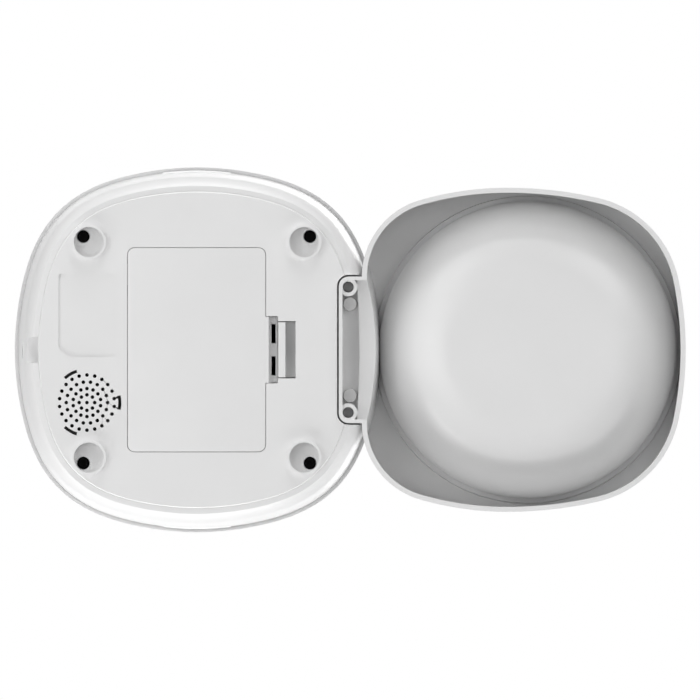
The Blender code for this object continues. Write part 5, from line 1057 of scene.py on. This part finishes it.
# Battery door, latch, cells, contacts


def battery_door():
    door = loft([
        flat_ring(door_outline(DOOR_GROW + offset, DOOR_CORNER + DOOR_GROW), z)
        for offset, z in round_in(COVER_EDGE, 0.0, COVER_Z) + [(0.0, COVER_TOP_Z)]
    ])
    roof_z = COVER_Z + VALLEY_HIGH
    roof_low = roof_z - VALLEY_WALL
    roof_rear = NOSE_Y + VALLEY_WALL / 2
    root_y = DOOR_FRONT_Y + DOOR_NOSE_OUT
    nose_half = DOOR_NOSE_HALF + DOOR_GROW
    fuse(
        door,
        slab(nose_half, NOSE_Y, root_y, COVER_Z, roof_z),
        slab(nose_half, roof_rear - VALLEY_WIDE / 3 - VALLEY_WALL / 2, roof_rear, roof_low, roof_z),
        slab(nose_half - ROOF_INSET, VALLEY_FRONT_Y + 2 * GAP, roof_rear, roof_low, roof_z),
    )
    cut(
        door,
        slab(nose_half + OVERRUN, NOSE_Y + VALLEY_WALL, root_y + OVERRUN, COVER_TOP_Z, roof_z + OVERRUN),
        valley_slots(COVER_TOP_Z),
    )
    low_z = COVER_TOP_Z + GAP
    high_z = low_z + DOOR_TONGUE_THICK
    for near, far, under_z in (
        (-DOOR_TONGUE_IN, -DOOR_CORNER / 2, COVER_TOP_Z - GAP),
        (-DOOR_CORNER, DOOR_TONGUE_OUT, low_z),
    ):
        fuse(door, gather(side_slabs(DOOR_TONGUE_INNER, DOOR_TONGUE_OUTER, DOOR_REAR_Y + near,
                                     DOOR_REAR_Y + far, under_z, high_z)))
    show(door, "battery_door")


def battery_latch():
    leg_top = COVER_Z + VALLEY_HIGH - VALLEY_WALL - GAP
    ridge_z = leg_top - LATCH_TAB_THICK
    leg_y = VALLEY_FRONT_Y - LATCH_LEG
    side_profile = [
        (LATCH_FRONT_Y, COVER_Z),
        (VALLEY_FRONT_Y, COVER_Z),
        (VALLEY_FRONT_Y, leg_top),
        (leg_y, leg_top),
        (leg_y, ridge_z + LATCH_RIDGE),
        (leg_y - LATCH_RIDGE, ridge_z),
        (leg_y, ridge_z - LATCH_RIDGE / 2),
        (leg_y, COVER_Z + LATCH_TAB_THICK),
        (LATCH_FRONT_Y, COVER_Z + LATCH_TAB_THICK),
    ]
    sides = [[Vector((x, y, z)) for y, z in side_profile] for x in (-LATCH_HALF, LATCH_HALF)]
    show(loft(sides), "battery_latch")


def battery_cells():
    end = CELL_LONG / 2
    crimp = 4 * GAP
    inner = CELL_RADIUS - crimp
    sleeve = [
        (inner, -end + GAP),
        (CELL_RADIUS - GAP, -end),
        (CELL_RADIUS, -end + GAP),
        (CELL_RADIUS, end - crimp),
        (CELL_RADIUS - GAP, end - GAP),
        (inner, end - GAP),
        (inner, end - crimp),
        (inner, -end + crimp),
    ]
    can = [
        (inner - WELD, -end + GAP),
        (inner - WELD, end - crimp),
        (inner - crimp, end),
        (CELL_NUB_RADIUS + GAP, end),
        (CELL_NUB_RADIUS, end + GAP),
        (CELL_NUB_RADIUS, end + CELL_NUB_LONG - GAP),
        (CELL_NUB_RADIUS - GAP, end + CELL_NUB_LONG),
    ]
    for number, place in enumerate((-1, 0, 1), 1):
        laid = (place * CELL_PITCH, BODY_Y, CELL_Z, -nub_side(number) * pi / 2)
        node = f"battery_cell_{number}"
        show(lay(turned(sleeve, CELL_STEPS, closed=True), *laid), node, 0.0)
        dress(lay(turned(can, CELL_STEPS), *laid), f"{node}_can", node, "steel", 0.0)


def nub_side(number):
    """The side along Y that a cell's nub faces; neighbours face opposite ways."""
    return 1 if number % 2 else -1


def coil(first_radius, last_radius, low_z, high_z):
    """A sprung coil of wire that narrows as it climbs between two heights."""
    rings = []
    steps = SPRING_TURNS * SPRING_STEPS
    for k in range(steps + 1):
        share = k / steps
        angle = 2 * pi * SPRING_TURNS * share
        radius = first_radius + (last_radius - first_radius) * share
        z = low_z + WIRE_RADIUS + (high_z - low_z - 2 * WIRE_RADIUS) * share
        rings.append([
            Vector((reach * cos(angle), reach * sin(angle), height))
            for reach, height in circle(WIRE_RADIUS, WIRE_STEPS, radius, z)
        ])
    return loft(rings)


def battery_contacts():
    """A plate at each end of the cells, with a coil to each flat end and a dome to each nub."""
    low_z = CELL_Z - CONTACT_HIGH / 2
    for side, name in ((-1, "front"), (1, "rear")):
        wall_y = BODY_Y + side * (BOX_INNER_WIDE / 2 - GAP)
        near, far = sorted((wall_y, wall_y - side * CONTACT_THICK))
        parts = [slab(CELL_PITCH + CELL_RADIUS / 2, near, far, low_z, low_z + CONTACT_HIGH)]
        for number, place in enumerate((-1, 0, 1), 1):
            reach = (BOX_INNER_WIDE - CELL_LONG) / 2 - 2 * GAP
            if nub_side(number) == side:
                reach -= CELL_NUB_LONG
                dome = [
                    (CONTACT_SPRING_RADIUS, CONTACT_THICK),
                    (CELL_NUB_RADIUS, reach - GAP),
                    (CELL_NUB_RADIUS / 2, reach),
                ]
                spring = turned(dome, FINE_TURN)
            else:
                spring = coil(CONTACT_SPRING_RADIUS, CELL_NUB_RADIUS / 2, CONTACT_THICK, reach)
            parts.append(lay(spring, place * CELL_PITCH, wall_y, CELL_Z, side * pi / 2))
        show(gather(parts), f"battery_contact_{name}", 0.0)


# Speaker, body shell with its mouth, button and window


def speaker():
    """A frame with a ribbed cone and a dome behind the grille, its magnet at the back."""
    low_z = COVER_TOP_Z + GAP
    rim = SPEAKER_RIM_THICK
    inner = SPEAKER_RADIUS - rim
    profile = []
    for k in range(EDGE_STEPS + 1):
        share = k / EDGE_STEPS
        profile.append((WELD + SPEAKER_MAGNET_RADIUS / 3 * share, low_z + rim / 2 + rim * share ** 2))
    profile += [
        (inner - rim, low_z + rim / 2),
        (inner - rim / 2, low_z + rim / 4),
        (inner, low_z + rim / 2),
        (inner + rim / 2, low_z),
        (SPEAKER_RADIUS, low_z),
        (SPEAKER_RADIUS, low_z + rim),
        (SPEAKER_MAGNET_RADIUS, low_z + 2 * rim),
        (SPEAKER_MAGNET_RADIUS, low_z + SPEAKER_HIGH),
    ]
    show(turned(profile, LARGE_TURN, GRILLE_X, GRILLE_Y), "speaker", 0.0)


def chute_tube(margin, front_y, rear_y):
    """The sloping tube of the outlet, widened by a margin: its section is upright and slides up along Y."""
    section = rounded_rectangle(CHUTE_HALF + margin, CHUTE_HIGH / 2 + margin, CHUTE_CORNER + margin,
                                CHUTE_CORNER_STEPS, CHUTE_MOUTH_Z + CHUTE_HIGH / 2)
    return loft([
        [Vector((x, y, z + (y - FRONT_Y) * CHUTE_RISE)) for x, z in section]
        for y in (front_y, rear_y)
    ])


def to_front(part, z):
    """Lays an upright piece along Y at the tower's front, its foot on the shell's outer side."""
    return lay(part, 0.0, BODY_Y - shell_half(z), z)


def body_shell():
    rib_top = DECK_Z - GAP
    rib_low = rib_top - DECK_RIB_THICK
    deck_half = shell_half(DECK_Z)
    inner_half = deck_half - SHELL_WALL
    shell = body_loft([
        *round_in(LEDGE_ROUND, BODY_HALF, SEAM_Z),
        (deck_half, DECK_Z),
        *arc(SHELL_EDGE, 0.0, pi / 2, EDGE_STEPS, SHELL_TOP_HALF - SHELL_EDGE, SHELL_TOP_Z - SHELL_EDGE),
        (SHELL_TOP_HALF - SHELL_WALL, SHELL_TOP_Z),
        (inner_half, rib_top),
        (inner_half - DECK_RIB_WIDE, rib_top),
        (inner_half - DECK_RIB_WIDE, rib_low),
        (inner_half, rib_low - DECK_RIB_WIDE),
        (BODY_HALF - SHELL_WALL, SEAM_Z + LEDGE_SLANT),
    ], closed=True)
    cut(shell, chute_tube(GAP, FRONT_Y - 2 * OVERRUN, FRONT_Y + 4 * OVERRUN))
    for radius, z in ((BUTTON_RADIUS, BUTTON_Z), (INDICATOR_RADIUS, INDICATOR_Z)):
        cut(shell, to_front(cylinder(radius + GAP, -2 * OVERRUN, 2 * OVERRUN), z))
    show(shell, "body_shell", LEDGE_ROUND)


def feed_button():
    flange_top = -SHELL_WALL - SLIDE_GAP
    flange_low = flange_top - BUTTON_FLANGE_THICK
    rounding = BUTTON_PROUD / 2
    edge = BUTTON_RADIUS - rounding
    profile = []
    for k in range(EDGE_STEPS + 1):
        share = (k + WELD) / EDGE_STEPS
        profile.append(((edge - rounding) * share, BUTTON_PROUD - rounding * (1 - share ** 2)))
    profile += arc(rounding, pi / 2, 0.0, EDGE_STEPS, edge, BUTTON_PROUD - rounding)
    profile += [
        (BUTTON_RADIUS, flange_top),
        (BUTTON_RADIUS + BUTTON_FLANGE, flange_top),
        (BUTTON_RADIUS + BUTTON_FLANGE, flange_low),
        (INDICATOR_RADIUS * 2, flange_low),
        (INDICATOR_RADIUS * 2, -BUTTON_LONG),
    ]
    show(to_front(turned(profile, LARGE_TURN), BUTTON_Z), "feed_button", 0.0)


def indicator_window():
    window = cylinder(INDICATOR_RADIUS, -INDICATOR_LONG, 0.0, steps=MIDDLE_TURN)
    show(to_front(window, INDICATOR_Z), "indicator_window")


# Outlet chute, dosing rotor in its chamber, and the deck


def outlet_chute():
    top_z = CHAMBER_BOTTOM_Z - GAP
    far = BODY_HALF
    near_y, far_y = FRONT_Y - far, BODY_Y + far
    chute = chute_tube(0.0, FRONT_Y - OVERRUN, CHUTE_REAR_Y)
    cut(chute, slab(far, near_y, far_y, top_z, top_z + far))
    ceiling = slab(far, near_y, far_y, top_z - CHUTE_WALL, top_z + far)
    cut(ceiling, slab(CHUTE_HALF - CHUTE_WALL - SLIDE_GAP, BODY_Y - CHAMBER_RADIUS + CHUTE_WALL,
                      CHUTE_REAR_Y + OVERRUN, top_z - CHUTE_WALL - OVERRUN, top_z + 2 * far))
    inside = chute_tube(-CHUTE_WALL, FRONT_Y - 2 * OVERRUN, CHUTE_REAR_Y - CHUTE_WALL)
    cut(inside, ceiling)
    cut(chute, inside)
    heights = (CHUTE_MOUTH_Z - CHUTE_WALL, top_z + CHUTE_HIGH)
    combine(chute, body_loft([(shell_half(z) - CHUTE_SET_BACK, z) for z in heights]), "INTERSECT")
    for side in (-1, 1):
        hole = cylinder(SENSOR_LENS_RADIUS + GAP, CHUTE_HALF - 2 * CHUTE_WALL, CHUTE_HALF + CHUTE_WALL,
                        steps=FINE_TURN)
        cut(chute, lay(hole, 0.0, SENSOR_Y, SENSOR_Z, side * pi / 2, "Y"))
    show(chute, "outlet_chute")


def inner_deck():
    top_z = DECK_Z + DECK_THICK
    half = shell_half(top_z) - SHELL_WALL - SLIDE_GAP
    deck = body_loft([(half, DECK_Z), (half, top_z)])
    start = 3 * pi / 2 - SHIELD_HALF_ANGLE
    end = 3 * pi / 2 + SHIELD_HALF_ANGLE
    opening = arc(DECK_OPENING_RADIUS, end - 2 * pi, start, CHAMBER_STEPS // 2, 0.0, BODY_Y)
    opening += arc(SHIELD_INNER_RADIUS, start, end, ARC_STEPS // 2, 0.0, BODY_Y)
    cut(deck, prism(opening, DECK_Z - OVERRUN, top_z + OVERRUN))
    show(deck, "inner_deck")


def pillar_places():
    """Three pillars on the gearbox cover: outside the output gear, the compound gear and the pinion."""
    edge = GEAR_TIP_RADIUS - PILLAR_RADIUS
    along = GEAR_REACH * sin(TRAIN_TURN)
    return [
        (edge * cos(-pi / 6), BODY_Y + edge * sin(-pi / 6)),
        (GEAR_REACH * cos(TRAIN_TURN) - edge, BODY_Y + along),
        (PILLAR_RADIUS, BODY_Y + 2 * along + PILLAR_RADIUS),
    ]


def rotor_chamber():
    outer = CHAMBER_RADIUS + CHAMBER_WALL
    top = DECK_Z - GAP
    flange_low = top - CHAMBER_FLANGE_THICK
    floor_z = CHAMBER_BOTTOM_Z + CHAMBER_FLOOR
    chamber = turned([
        (outer, CHAMBER_BOTTOM_Z),
        (outer, flange_low),
        (outer + CHAMBER_FLANGE, flange_low),
        (outer + CHAMBER_FLANGE, top),
        (CHAMBER_RADIUS, top),
        (CHAMBER_RADIUS, floor_z),
    ], CHAMBER_STEPS, 0.0, BODY_Y)
    low_z = CHAMBER_BOTTOM_Z - OVERRUN
    high_z = floor_z + OVERRUN / 2
    outlet = sector(OUTLET_INNER_RADIUS, ROTOR_RADIUS, -pi / 2, OUTLET_HALF_ANGLE, OUTLET_STEPS, 0.0, BODY_Y)
    cut(
        chamber,
        prism(outlet, low_z, high_z),
        cylinder(SHAFT_RADIUS + SLIDE_GAP, low_z, high_z, 0.0, BODY_Y, MIDDLE_TURN),
    )
    pillar_top = CHAMBER_BOTTOM_Z + CHAMBER_FLOOR / 2
    fuse(chamber, cylinders(pillar_places(), PILLAR_RADIUS, COVER_PLATE_TOP + GAP, pillar_top, SMALL_TURN))
    show(chamber, "rotor_chamber")


def star(radius, arms, thick, hub_radius, hub_steps, start):
    """The outline of a hub with straight arms of one thickness."""
    points = []
    root = asin(thick / 2 / hub_radius)
    tip = asin(thick / 2 / radius)
    for arm in range(arms):
        middle = start + 2 * pi * arm / arms
        after = middle + 2 * pi / arms
        points += arc(radius, middle - tip, middle + tip, 1, 0.0, BODY_Y)
        points += arc(hub_radius, middle + root, after - root, hub_steps, 0.0, BODY_Y)
    return points


def rotor():
    low_z = CHAMBER_BOTTOM_Z + CHAMBER_FLOOR + ROTOR_GAP
    first = pi / ROTOR_VANES
    outline = star(ROTOR_RADIUS, ROTOR_VANES, VANE_THICK, ROTOR_HUB_RADIUS, ROTOR_HUB_STEPS, first)
    wheel = prism(outline, low_z, DECK_Z - ROTOR_GAP)
    socket = circle(SHAFT_RADIUS + GAP, SHAFT_SIDES, 0.0, BODY_Y)
    cut(wheel, prism(socket, low_z - OVERRUN, low_z + SHAFT_IN_ROTOR + GAP))
    show(wheel, "rotor")


def agitator():
    low_z = DECK_Z - ROTOR_GAP + GAP
    arm_low = low_z + AGITATOR_STEM_HIGH
    radius = SHIELD_INNER_RADIUS - 4 * SLIDE_GAP
    profile = [(radius, low_z), (radius, arm_low), (radius / 2, arm_low + 2 * AGITATOR_ARM_HIGH)]
    stem = turned(profile, MIDDLE_TURN, 0.0, BODY_Y)
    arms = star(AGITATOR_RADIUS, AGITATOR_ARMS, AGITATOR_ARM_THICK, radius, AGITATOR_HUB_STEPS, pi / 2)
    fuse(stem, prism(arms, arm_low, arm_low + AGITATOR_ARM_HIGH))
    show(stem, "agitator")


# Hopper, lid, seal, desiccant


def hopper():
    low_z = DECK_Z + DECK_THICK + GAP
    rings = []
    for wall, order in ((0.0, 1), (HOPPER_WALL, -1)):
        side = (
            (0.0, low_z),
            (0.0, low_z + THROAT_HIGH + wall / 2),
            (1.0, HOPPER_FUNNEL_Z + wall / 2),
            (1.0, HOPPER_TOP_Z),
        )
        for share, z in side[::order]:
            outline = body_outline(HOPPER_HALF - wall, THROAT_RADIUS + HOPPER_WALL - wall, share)
            rings.append(flat_ring(outline, z))
    show(loft(rings, closed=True), "hopper")


def lid():
    cap = body_loft([
        (SKIRT_HALF - SKIRT_WALL, LID_CEILING_Z),
        (SKIRT_HALF - SKIRT_WALL, SKIRT_BOTTOM_Z),
        (SKIRT_HALF, SKIRT_BOTTOM_Z),
        (SKIRT_HALF, LID_LOW_Z),
        (LID_HALF - COVER_EDGE, LID_LOW_Z),
        (LID_HALF, LID_LOW_Z + COVER_EDGE),
        *arc(LID_EDGE, 0.0, pi / 2, LID_EDGE_STEPS, LID_HALF - LID_EDGE, LID_TOP_Z - LID_EDGE),
        (LID_PANEL_HALF + LID_PANEL_DEEP, LID_TOP_Z),
        (LID_PANEL_HALF, LID_TOP_Z - LID_PANEL_DEEP),
    ])
    inner = DESICCANT_RADIUS + GAP
    outer = inner + DESICCANT_RING_WALL
    low_z, high_z = LID_CEILING_Z - DESICCANT_RING_HIGH, LID_CEILING_Z + LID_WALL / 2
    ring = [(outer, low_z), (outer, high_z), (inner, high_z), (inner, low_z)]
    fuse(cap, turned(ring, LARGE_TURN, 0.0, BODY_Y, closed=True))
    cut(cap, gather(side_slabs(LID_HALF - GRIP_DEEP, LID_HALF + BODY_HALF, BODY_Y - GRIP_HALF_LONG,
                               BODY_Y + GRIP_HALF_LONG, LID_LOW_Z - OVERRUN, LID_LOW_Z + GRIP_HIGH)))
    show(cap, "lid")


def lid_seal():
    """A soft seal with two lips."""
    low_z = SKIRT_BOTTOM_Z + SEAL_LOW
    inner = SKIRT_HALF + GAP
    profile = [(inner, low_z)]
    for k in range(SEAL_STEPS + 1):
        profile.append((SEAL_HALF - SEAL_BEAD * (1 - k % 2), low_z + k * SEAL_HIGH / SEAL_STEPS))
    profile.append((inner, low_z + SEAL_HIGH))
    show(body_loft(profile, closed=True), "lid_seal", 0.0)


def desiccant():
    top = LID_CEILING_Z - GAP
    low = top - DESICCANT_HIGH
    inner = DESICCANT_RADIUS - DESICCANT_WALL
    cup = [(inner, top - DESICCANT_WALL), (inner, low), (DESICCANT_RADIUS, low), (DESICCANT_RADIUS, top)]
    show(turned(cup, LARGE_TURN, 0.0, BODY_Y), "desiccant_box")
    thick = DESICCANT_COVER_THICK
    cover_top = low - GAP
    cover_low = cover_top - thick
    cover = cylinder(DESICCANT_RADIUS, cover_low, cover_top, 0.0, BODY_Y)
    fuse(cover, cylinder(inner - 2 * GAP, cover_top - thick / 2, cover_top + thick, 0.0, BODY_Y))
    slots = []
    for k in range(DESICCANT_SLOTS):
        outline = sector(DESICCANT_SLOT_INNER, DESICCANT_SLOT_OUTER, 2 * pi * k / DESICCANT_SLOTS,
                         DESICCANT_SLOT_HALF, DESICCANT_SLOT_STEPS, 0.0, BODY_Y)
        slots.append(prism(outline, cover_low - OVERRUN, cover_top + OVERRUN))
    cut(cover, gather(slots))
    fuse(cover, slab(DESICCANT_SLOT_INNER, BODY_Y - thick / 2, BODY_Y + thick / 2, cover_low - thick,
                     cover_low + thick / 2))
    show(cover, "desiccant_cover")


# Bowl holder, magnets, bowl


def touching_arc(first, first_radius, second, second_radius, radius):
    """The centre of the arc that runs smoothly into two larger arcs which curve round it."""
    gap_x = second[0] - first[0]
    gap_y = second[1] - first[1]
    apart = hypot(gap_x, gap_y)
    near = first_radius - radius
    along = (near ** 2 - (second_radius - radius) ** 2 + apart ** 2) / (2 * apart)
    off = sqrt(near ** 2 - along ** 2)
    return (first[0] + (gap_x * along + gap_y * off) / apart,
            first[1] + (gap_y * along - gap_x * off) / apart)


def bearing(origin, point):
    return atan2(point[1] - origin[1], point[0] - origin[0])


def holder_outline(inset):
    """The holder in plan: a front arc, two front corners, two sides that curve faster behind the widest
    place, and two rear corners that run into a straight rear edge. Every arc is drawn in by the inset."""
    side = (HOLDER_HALF - HOLDER_SIDE_RADIUS, HOLDER_WIDEST_Y)
    front = (0.0, HOLDER_FRONT_Y + HOLDER_FRONT_RADIUS)
    corner = touching_arc(side, HOLDER_SIDE_RADIUS, front, HOLDER_FRONT_RADIUS, HOLDER_CORNER_RADIUS)
    rear_side = (HOLDER_HALF - HOLDER_REAR_SIDE_RADIUS, HOLDER_WIDEST_Y)
    rear_y = HOLDER_REAR_Y - HOLDER_REAR_CORNER_RADIUS
    reach = HOLDER_REAR_SIDE_RADIUS - HOLDER_REAR_CORNER_RADIUS
    rear = (rear_side[0] + sqrt(reach ** 2 - (rear_y - HOLDER_WIDEST_Y) ** 2), rear_y)
    front_turn = bearing(front, corner)
    side_turn = bearing(side, corner)
    rear_turn = bearing(rear_side, rear)
    half = []
    for radius, start, end, steps, centre in (
        (HOLDER_FRONT_RADIUS, -pi / 2, front_turn, ARC_STEPS // 2, front),
        (HOLDER_CORNER_RADIUS, front_turn, side_turn, ARC_STEPS, corner),
        (HOLDER_SIDE_RADIUS, side_turn, 0.0, ARC_STEPS // 2, side),
        (HOLDER_REAR_SIDE_RADIUS, 0.0, rear_turn, ARC_STEPS // 2, rear_side),
        (HOLDER_REAR_CORNER_RADIUS, rear_turn, pi / 2, ARC_STEPS, rear),
    ):
        half += arc(radius - inset, start, end, steps, *centre)[:-1]
    half.append((rear[0], HOLDER_REAR_Y - inset))
    return half + [(-x, y) for x, y in reversed(half[1:])]


def base_envelope(offset):
    """What the holder leaves free round the base: its outer side, moved outward, and the space above."""
    profile = [(half, z - HOLDER_CLEAR) for half, z in base_outer(offset)]
    half, z = profile[-1]
    return body_loft([(BODY_Y, profile[0][1])] + profile + [(half, z + HOLDER_TOP_Z + 2 * OVERRUN)])


def dish_curve(low_z, wall_radius):
    """The bowl recess's curve: flat in the middle, then ever steeper till it meets its upright wall."""
    stretch = (wall_radius - DISH_START) / (DISH_RADIUS - DISH_START)
    points = []
    for k in range(DISH_STEPS + 1):
        angle = asin((DISH_RADIUS - DISH_START) / (DISH_REACH - DISH_START)) * k / DISH_STEPS
        across = DISH_START + (DISH_REACH - DISH_START) * stretch * sin(angle)
        points.append((across, low_z + DISH_RISE * (1 - cos(angle))))
    return points


def dish_body(offset, top_z):
    """The bowl recess as a body, set in from its under side: the dish, then the step of the bowl's seat."""
    seat_z = HOLDER_TOP_Z - SEAT_DEEP - DISH_WALL + offset
    points = dish_curve(DISH_BOTTOM_Z + offset, DISH_RADIUS - offset) + [(DISH_RADIUS - offset, seat_z)]
    if offset:
        points += [(SEAT_RADIUS, seat_z), (SEAT_RADIUS, top_z)]
    else:
        deck_z = HOLDER_TOP_Z - HOLDER_DECK
        points += [(RECESS_RADIUS - SEAT_DRAFT, seat_z), (RECESS_RADIUS, deck_z), (RECESS_RADIUS, top_z)]
    return turned(points, DISH_TURN_STEPS, 0.0, BOWL_Y)


def tab_pocket_outline():
    """The deep part of the tab's hollow in plan; its front edge is a shallow arc."""
    half = TAB_HALF - TAB_WALL
    front = []
    for k in range(ARC_STEPS + 1):
        x = half * (2 * k / ARC_STEPS - 1)
        front.append((x, TAB_STEP_Y + TAB_STEP_RADIUS - sqrt(TAB_STEP_RADIUS ** 2 - x ** 2)))
    return front + mirrored(rear_corner(TAB_WALL))


def bowl_holder():
    rings = [flat_ring(holder_outline(0.0), 0.0)]
    for across, z in arc(HOLDER_EDGE, 0.0, pi / 2, HOLDER_EDGE_STEPS, 0.0, HOLDER_TOP_Z - HOLDER_EDGE):
        rings.append(flat_ring(holder_outline(HOLDER_EDGE - across), z))
    holder = loft(rings)
    cut(holder, base_envelope(HOLDER_CLEAR))
    fuse(
        holder,
        prism(tab_outline(0.0, FRONT_Y), 0.0, TAB_LOW),
        prism(tab_outline(0.0, TAB_STEP_Y), TAB_LOW / 2, TAB_HIGH),
    )
    cavity = loft([
        flat_ring(holder_outline(HOLDER_RIM), -OVERRUN / 8),
        flat_ring(holder_outline(HOLDER_SKIRT), HOLDER_TOP_Z - HOLDER_DECK),
    ])
    cut(cavity, base_envelope(HOLDER_CLEAR + HOLDER_REAR_WALL), dish_body(0.0, HOLDER_TOP_Z))
    cut(
        holder,
        cavity,
        prism(tab_outline(TAB_WALL, FRONT_Y), -OVERRUN, TAB_LOW - TAB_CEILING),
        prism(tab_pocket_outline(), -OVERRUN, TAB_HIGH - TAB_CEILING),
    )
    fuse(holder, cylinders(BOSSES, BOSS_RADIUS, BOSS_END_Z, TAB_HIGH - TAB_CEILING / 2, MIDDLE_TURN))
    cut(
        holder,
        cylinders(BOSSES, BOSS_BORE, BOSS_END_Z - OVERRUN, TAB_HIGH + OVERRUN, SMALL_TURN),
        dish_body(DISH_WALL, HOLDER_TOP_Z + OVERRUN),
    )
    show(holder, "bowl_holder")


def magnets():
    holder_low = TAB_HIGH - TAB_CEILING - GAP - MAGNET_THICK
    base_low = TAB_HIGH + TAB_GAP + NOTCH_WALL + GAP
    for side, name in ((-1, "left"), (1, "right")):
        for carrier, low_z in (("holder", holder_low), ("base", base_low)):
            disc = cylinder(MAGNET_RADIUS, low_z, low_z + MAGNET_THICK, side * MAGNET_X, MAGNET_Y)
            show(disc, f"{carrier}_magnet_{name}", SOFT_BEVEL)


def steel_bowl():
    """A drawn bowl with a rolled lip."""
    flange_low = HOLDER_TOP_Z - SEAT_DEEP + GAP
    flange_top = flange_low + FLANGE_THICK
    throat = DISH_RADIUS - DISH_WALL - BOWL_INSET
    floor_low = DISH_BOTTOM_Z + DISH_WALL + BOWL_SHEET
    outer = dish_curve(floor_low, throat) + [(throat, flange_low)]
    inner = []
    for k, (radius, z) in enumerate(outer):
        share = min(1.0, k / DISH_STEPS)
        inner.append((radius - BOWL_SHEET * share, z + BOWL_SHEET * (1 - share)))
    inner[-1] = (throat - BOWL_SHEET, flange_top - BOWL_SHEET / 4)
    roll = FLANGE_THICK
    lip = arc(roll, -pi / 2, pi, 2 * EDGE_STEPS, FLANGE_RADIUS - roll, flange_low + roll)
    profile = outer + lip + [(FLANGE_RADIUS - 3 * roll, flange_top)] + inner[::-1]
    show(turned(profile, DISH_TURN_STEPS, 0.0, BOWL_Y), "steel_bowl", 0.0)


bottom_cover()
cover_screws()
base_housing()
battery_door()
battery_latch()
battery_cells()
battery_contacts()
speaker()
body_shell()
feed_button()
indicator_window()
outlet_chute()
inner_deck()
rotor_chamber()
rotor()
agitator()
hopper()
lid()
lid_seal()
desiccant()
bowl_holder()
magnets()
steel_bowl()


# Light, floor, camera


def lamp(number, bearing_deg, height_deg, power):
    """A soft square lamp on a sphere round the object, turned to its middle."""
    data = bpy.data.lights.new(f"lamp_{number}", "AREA")
    data.shape = "SQUARE"
    data.size = LAMP_WIDE
    data.energy = power
    made = bpy.data.objects.new(f"lamp_{number}", data)
    bpy.context.scene.collection.objects.link(made)
    around = radians(bearing_deg)
    height = radians(height_deg)
    outward = Vector((cos(height) * cos(around), cos(height) * sin(around), sin(height)))
    made.location = Vector(LAMP_CENTRE) + LAMP_REACH * outward
    made.rotation_euler = outward.to_track_quat("Z", "Y").to_euler()
    made.visible_camera = False
    made.visible_transmission = False


def multiply_add(tree, value, factor, addend):
    return new_node(tree, "ShaderNodeMath", {0: value, 1: factor, 2: addend}, "Value", "MULTIPLY_ADD")


def studio_world():
    """A white sky: full for the camera and through clear plastic, weaker in reflections and as light."""
    world = bpy.data.worlds.new("studio")
    bpy.context.scene.world = world
    world.use_nodes = True
    tree = world.node_tree
    path = tree.nodes.new("ShaderNodeLightPath")
    strength = SKY_DIFFUSE
    for ray, full in (("Is Glossy Ray", SKY_GLOSSY), ("Is Transmission Ray", 1.0), ("Is Camera Ray", 1.0)):
        strength = multiply_add(tree, path.outputs[ray], full - SKY_DIFFUSE, strength)
    feed(tree, tree.nodes["Background"], {"Color": (1.0, 1.0, 1.0, 1.0), "Strength": strength})


def floor():
    """A pale floor, seen only by the camera and only from above."""
    bm = bmesh.new()
    half = FLOOR_HALF
    corners = ((-half, -half), (half, -half), (half, half), (-half, half))
    bm.faces.new([bm.verts.new((x, y, FLOOR_Z)) for x, y in corners])
    made = body_from(bm, "floor")
    tree, shader = new_finish("floor")
    feed(tree, shader, {
        "Base Color": (0.9, 0.9, 0.9, 1.0),
        "Roughness": 0.9,
        "Specular IOR Level": 0.0,
        "Emission Color": (1.0, 1.0, 1.0, 1.0),
        "Emission Strength": FLOOR_GLOW,
    })
    clear = new_node(tree, "ShaderNodeBsdfTransparent", {}, "BSDF")
    camera_ray = new_node(tree, "ShaderNodeLightPath", {}, "Is Camera Ray")
    below = new_node(tree, "ShaderNodeNewGeometry", {}, "Backfacing")
    shown = multiply_add(tree, camera_ray, multiply_add(tree, below, -1.0, 1.0), 0.0)
    mix = new_node(tree, "ShaderNodeMixShader", {"Fac": shown, 1: clear, 2: shader.outputs["BSDF"]}, "Shader")
    feed(tree, tree.nodes["Material Output"], {"Surface": mix})
    made.data.materials.append(FINISH["floor"])


def photo_camera():
    data = bpy.data.cameras.new("photo_camera")
    data.lens = LENS
    data.sensor_width = SENSOR
    distance = LENS / SENSOR * PHOTO_WIDE
    data.clip_start = CLIP_NEAR
    data.clip_end = 4 * distance
    made = bpy.data.objects.new("photo_camera", data)
    bpy.context.scene.collection.objects.link(made)
    made.matrix_world = Matrix((
        (0.0, -1.0, 0.0, PHOTO_CENTRE_X),
        (-1.0, 0.0, 0.0, PHOTO_CENTRE_Y),
        (0.0, 0.0, -1.0, -distance),
        (0.0, 0.0, 0.0, 1.0),
    ))
    bpy.context.scene.camera = made


studio_world()
floor()
for number, (bearing_deg, height_deg, power) in enumerate(LAMPS, 1):
    lamp(number, bearing_deg, height_deg, power)
photo_camera()
bpy.context.scene.view_settings.view_transform = "Standard"
